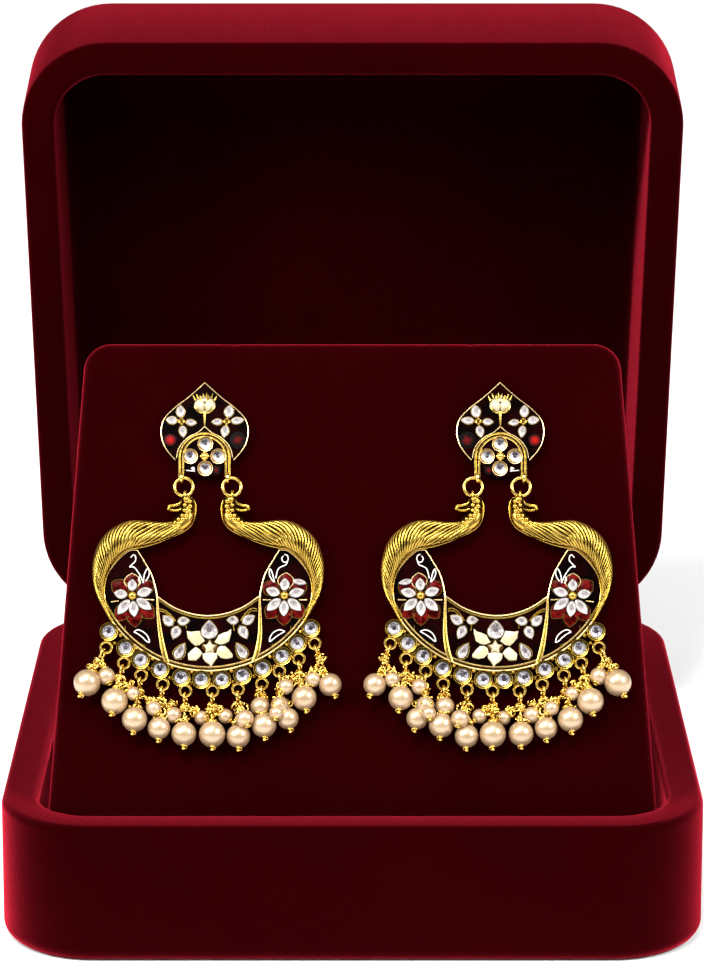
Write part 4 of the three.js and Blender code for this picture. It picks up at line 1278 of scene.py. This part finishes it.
DROPS = (
    # loop on the rim, then x, y, height and radius of each pearl, the large one first
    ((-18.8, -18.0), (-22.2, -24.8, 2.9, 2.5), (-18.7, -23.5, 2.3, 1.65)),
    ((-15.5, -20.9), (-17.1, -28.3, 3.3, 2.45), (-13.7, -26.9, 3.4, 1.3)),
    ((-12.3, -23.2), (-13.4, -31.6, 2.8, 2.35), (-9.9, -29.6, 3.0, 1.4)),
    ((-8.3, -24.9), (-8.9, -33.2, 2.5, 2.1), (-6.3, -30.7, 2.0, 1.55)),
    ((-4.1, -26.1), (-4.3, -34.3, 2.7, 2.3), (-1.1, -31.2, 1.8, 1.35)),
    ((0.9, -26.1), (0.9, -34.4, 2.9, 2.45), (3.3, -30.9, 1.8, 1.4)),
    ((5.6, -25.8), (5.7, -34.7, 2.6, 2.2), (6.9, -31.7, 4.0, 1.7)),
    ((10.0, -24.8), (10.4, -32.7, 2.7, 2.3), (9.7, -29.2, 2.4, 1.8)),
    ((13.2, -22.4), (14.8, -31.4, 2.4, 2.0), (13.3, -29.1, 3.2, 1.7), (12.7, -30.7, 4.2, 1.35)),
    ((16.8, -20.1), (17.8, -27.6, 2.7, 2.3), (14.4, -25.6, 3.2, 1.45)),
    ((19.7, -17.2), (22.6, -25.1, 2.5, 2.1), (19.4, -24.1, 2.4, 1.5)),
)
WIRE_Z = 1.7
LARGE_PEARL = 1.9
CURL_WIRE = 0.18
CURL_STEP = 0.36
CURL_RISE = 0.05
LINK_RADIUS = 0.95
LINK_WIRE = 0.24


def tangle(form, draw, centre, count, spread):
    """Small open curls of spare wire about a point"""
    for _ in range(count):
        axis = (draw.uniform(-1, 1), draw.uniform(-1, 1), draw.uniform(-0.3, 1))
        radius = draw.uniform(0.4, 0.68)
        across, along = draw.uniform(-spread, spread), draw.uniform(-spread, spread)
        middle = centre + Vector((across, along, draw.uniform(0, spread)))
        first = draw.uniform(0, 6.28)
        angles = [first + CURL_STEP * i for i in range(15)]
        form.tube(circle(middle, radius, axis, angles, CURL_RISE), CURL_WIRE)


def drop_pieces(loop_place, *places):
    """Pearls of one drop, and its wires: link, curls, wraps, caps, pins and pin heads"""
    pearls, gold = Form(), Form()
    draw = random.Random(round(10 * loop_place[0]))
    loop = Vector((*loop_place, WIRE_Z))
    main = Vector(places[0][:3])
    out = Vector((0, 0, 1))
    hang = Vector((main.x - loop.x, main.y - loop.y, 0)).normalized()
    edge_on = Vector((-hang.y, hang.x, 0))
    link = loop + hang * 1.35
    gold.ring(link, LINK_RADIUS, LINK_WIRE, axis=edge_on + out * 0.25, steps=22)
    hook = link + hang * 1.2
    gold.ring(hook + hang * 0.35, 0.66, 0.19, axis=edge_on + out * 0.9, steps=18)
    gold.ring(hook + hang * 0.8, 0.5, 0.17, axis=Vector((0.3, 0.2, 1)), steps=16)
    tangle(gold, draw, hook + hang * 0.8, 10, 0.65)
    for *place, radius in places:
        centre = Vector(place)
        along = (centre - hook).normalized()
        pearls.ball(centre, radius, 32, 20, axis=along)
        crown = centre - along * radius
        gold.tube((hook, crown + along * 0.2), 0.19)
        for turn in range(5):
            where = crown - along * (0.1 + 0.28 * turn)
            if (where - hook).dot(along) > 0.1 or turn < 2:
                gold.ring(where, 0.46 - 0.04 * turn, 0.16, axis=along, steps=14)
        gold.ring(crown + along * 0.2, 0.36 * radius, 0.17, axis=along, steps=20)
        tangle(gold, draw, crown - along * 0.1, 7, 0.8)
        tip = centre + along * radius
        if radius > LARGE_PEARL:
            gold.tube((tip - along * 0.2, tip + along * 0.5), 0.2)
            gold.ball(tip + along * 0.6, 0.4, 12, 8, squash=0.75, axis=along)
            gold.ring(tip + along * 0.08, 0.4, 0.16, axis=along, steps=14)
            gold.ring(tip + along * 0.3 + edge_on * 0.35, 0.3, 0.13, axis=hang + out, steps=12, sides=6)
        else:
            gold.ring(tip - along * 0.14, 0.45 * radius, 0.15, axis=along, steps=18)
            gold.ball(tip + along * 0.05, 0.3, 10, 6, axis=along)
    return pearls, gold


def enamel_floor():
    """A thin sheet of enamel in each of the three panels"""
    form = Form()
    for one, other in panels():
        form.plate(one, other, FLOOR - ENAMEL_THICKNESS, FLOOR)
    return form


def build_earring(name, side):
    """One earring, made in its own plane and laid on the card"""
    place = on_card(side)

    def put(part, form, material, **options):
        make(f"{name}_{part}", form, material, place, **options)

    def put_gold(part, form, material, **options):
        put(part, form, material, slot="gold", **options)

    put_gold("crescent_gold", crescent_gold(), GOLD, replaces=(f"{name}_crescent",))
    put_gold("crescent_lines", crescent_lines(), PALE_GOLD)
    put_gold("rim_loops", rim_loops(), WIRE_GOLD)
    half_bird = bird()
    put_gold("peacocks", Form().join(half_bird, half_bird.mirrored()), GOLD, sharp=ROUND)
    put("crescent_enamel", enamel_floor(), BLACK_ENAMEL)
    red, white, lines, settings = horn_flowers()
    ivory, clear, middle_settings = middle_panel()
    put("lotus_enamel", red, RED_ENAMEL)
    put("lotus_stones", white, WHITE_STONE, sharp=FACETS)
    put_gold("lotus_lines", lines, PALE_GOLD)
    put_gold("panel_settings", settings.join(middle_settings), GOLD)
    put("flower_petals", ivory, IVORY_STONE)
    put("panel_stones", clear, WHITE_STONE, sharp=FACETS)
    put("rim_stones", rim_stones(), CLEAR_STONE, sharp=FINE_FACETS)
    put("scrolls", scrolls(), WHITE_WIRE)
    wires = stud_wires()
    petals = stud_flowers(wires)
    tulip = stud_tulip(wires)
    outline = stud_lines()
    stones, marks, spots = stud_stones(), stud_marks(), stud_spots()
    black = stud_enamel()
    for form in (black, petals, tulip, outline, wires, stones, marks, spots):
        form.points = [point + Vector((STUD_X, 0, 0)) for point in form.points]
    put("stud_enamel", black, BLACK_ENAMEL, replaces=(f"{name}_stud",))
    put("stud_petals", petals, WHITE_STONE, sharp=FACETS)
    put("stud_tulip", tulip, IVORY_STONE)
    put_gold("stud_outline", outline, PALE_GOLD)
    put_gold("stud_gold", wires, WIRE_GOLD)
    put("stud_stones", stones, CLEAR_STONE, sharp=FACETS)
    put("stud_marks", marks, WHITE_WIRE)
    put("stud_spots", spots, RED_GLOW)
    post = Form().tube(((STUD_X, POST_Y, BACK + 0.2), (STUD_X, POST_Y, POST_END)), 0.4, 12)
    put_gold("post", post, GOLD)
    for ring_name, x in JUMP_RINGS:
        ring = Form().ring((x, JUMP_RING_Y, RING_Z), JUMP_RING_RADIUS, JUMP_RING_WIRE, steps=40, sides=12)
        put_gold(f"ring_{ring_name}", ring, WIRE_GOLD, replaces=(f"{name}_jump_ring_{ring_name}",))
    for i, drop in enumerate(DROPS, 1):
        pearls, wires = drop_pieces(*drop)
        put(f"drop_{i:02d}_pearls", pearls, PEARL, sharp=ROUNDEST, slot="pearl",
            replaces=(f"{name}_pearl_drop_{i:02d}",))
        put_gold(f"drop_{i:02d}_wire", wires, WIRE_GOLD, sharp=ROUNDEST)


# Floor, lights and camera

CAMERA_DOWN = math.radians(18.41)
CAMERA_DISTANCE = 1070.5
CAMERA_RISE = 63.087
FOCAL_PIXELS = 5863.76
PHOTO_HEIGHT = 965
SENSOR_MM = 36
LIGHTS = (
    # name, place and target in metres, size and power
    ("key", (-0.3, -0.72, 1.32), (0, 0, 0.06), 0.45, 23),
    ("top", (0.05, -0.25, 1.65), (0, 0.2, 0.0), 0.9, 8),
    ("left", (-0.6, -0.38, 0.56), (0, 0, 0.05), 0.35, 8),
    ("right", (0.6, -0.38, 0.56), (0, 0, 0.05), 0.35, 7.5),
)
SKY_STRENGTH = 0.28
FLOOR_REACH = 4.0


def place_camera():
    """The photo's view, a little from above, measured from the middle of the front rim"""
    camera = bpy.data.cameras.new("camera")
    camera.sensor_width = SENSOR_MM
    camera.lens = FOCAL_PIXELS * SENSOR_MM / PHOTO_HEIGHT
    camera.clip_start = 0.05
    holder = put_in_scene("camera", camera)
    forward = Vector((0, math.cos(CAMERA_DOWN), -math.sin(CAMERA_DOWN)))
    up = Vector((0, math.sin(CAMERA_DOWN), math.cos(CAMERA_DOWN)))
    rim = Vector((0, -BOX_DEPTH / 2, BASE_HEIGHT))
    holder.location = (rim - forward * CAMERA_DISTANCE + up * CAMERA_RISE) * MM
    holder.rotation_euler = (math.pi / 2 - CAMERA_DOWN, 0, 0)
    bpy.context.scene.camera = holder


def light_stage():
    """Four area lights, a pale sky and a wide floor"""
    for name, place, target, size, power in LIGHTS:
        light = bpy.data.lights.new(name, "AREA")
        light.size = size
        light.energy = power
        holder = put_in_scene(name, light)
        holder.location = place
        aim = Vector(target) - Vector(place)
        holder.rotation_euler = aim.to_track_quat("-Z", "Y").to_euler()
    world = bpy.data.worlds.new("studio")
    world.use_nodes = True
    world.node_tree.nodes["Background"].inputs["Color"].default_value = colour(1, 1, 1)
    world.node_tree.nodes["Background"].inputs["Strength"].default_value = SKY_STRENGTH
    bpy.context.scene.world = world
    bpy.context.scene.view_settings.view_transform = "Standard"
    mesh = bpy.data.meshes.new("floor")
    corners = [(x * FLOOR_REACH, y * FLOOR_REACH, 0) for x, y in ((-1, -1), (1, -1), (1, 1), (-1, 1))]
    mesh.from_pydata(corners, [], [(0, 1, 2, 3)])
    mesh.materials.append(floor_paint())
    put_in_scene("floor", mesh)


def main():
    """Builds everything, the left earring before the right one"""
    blank_scene()
    place_camera()
    light_stage()
    build_box()
    build_earring("left", -1)
    build_earring("right", 1)


main()
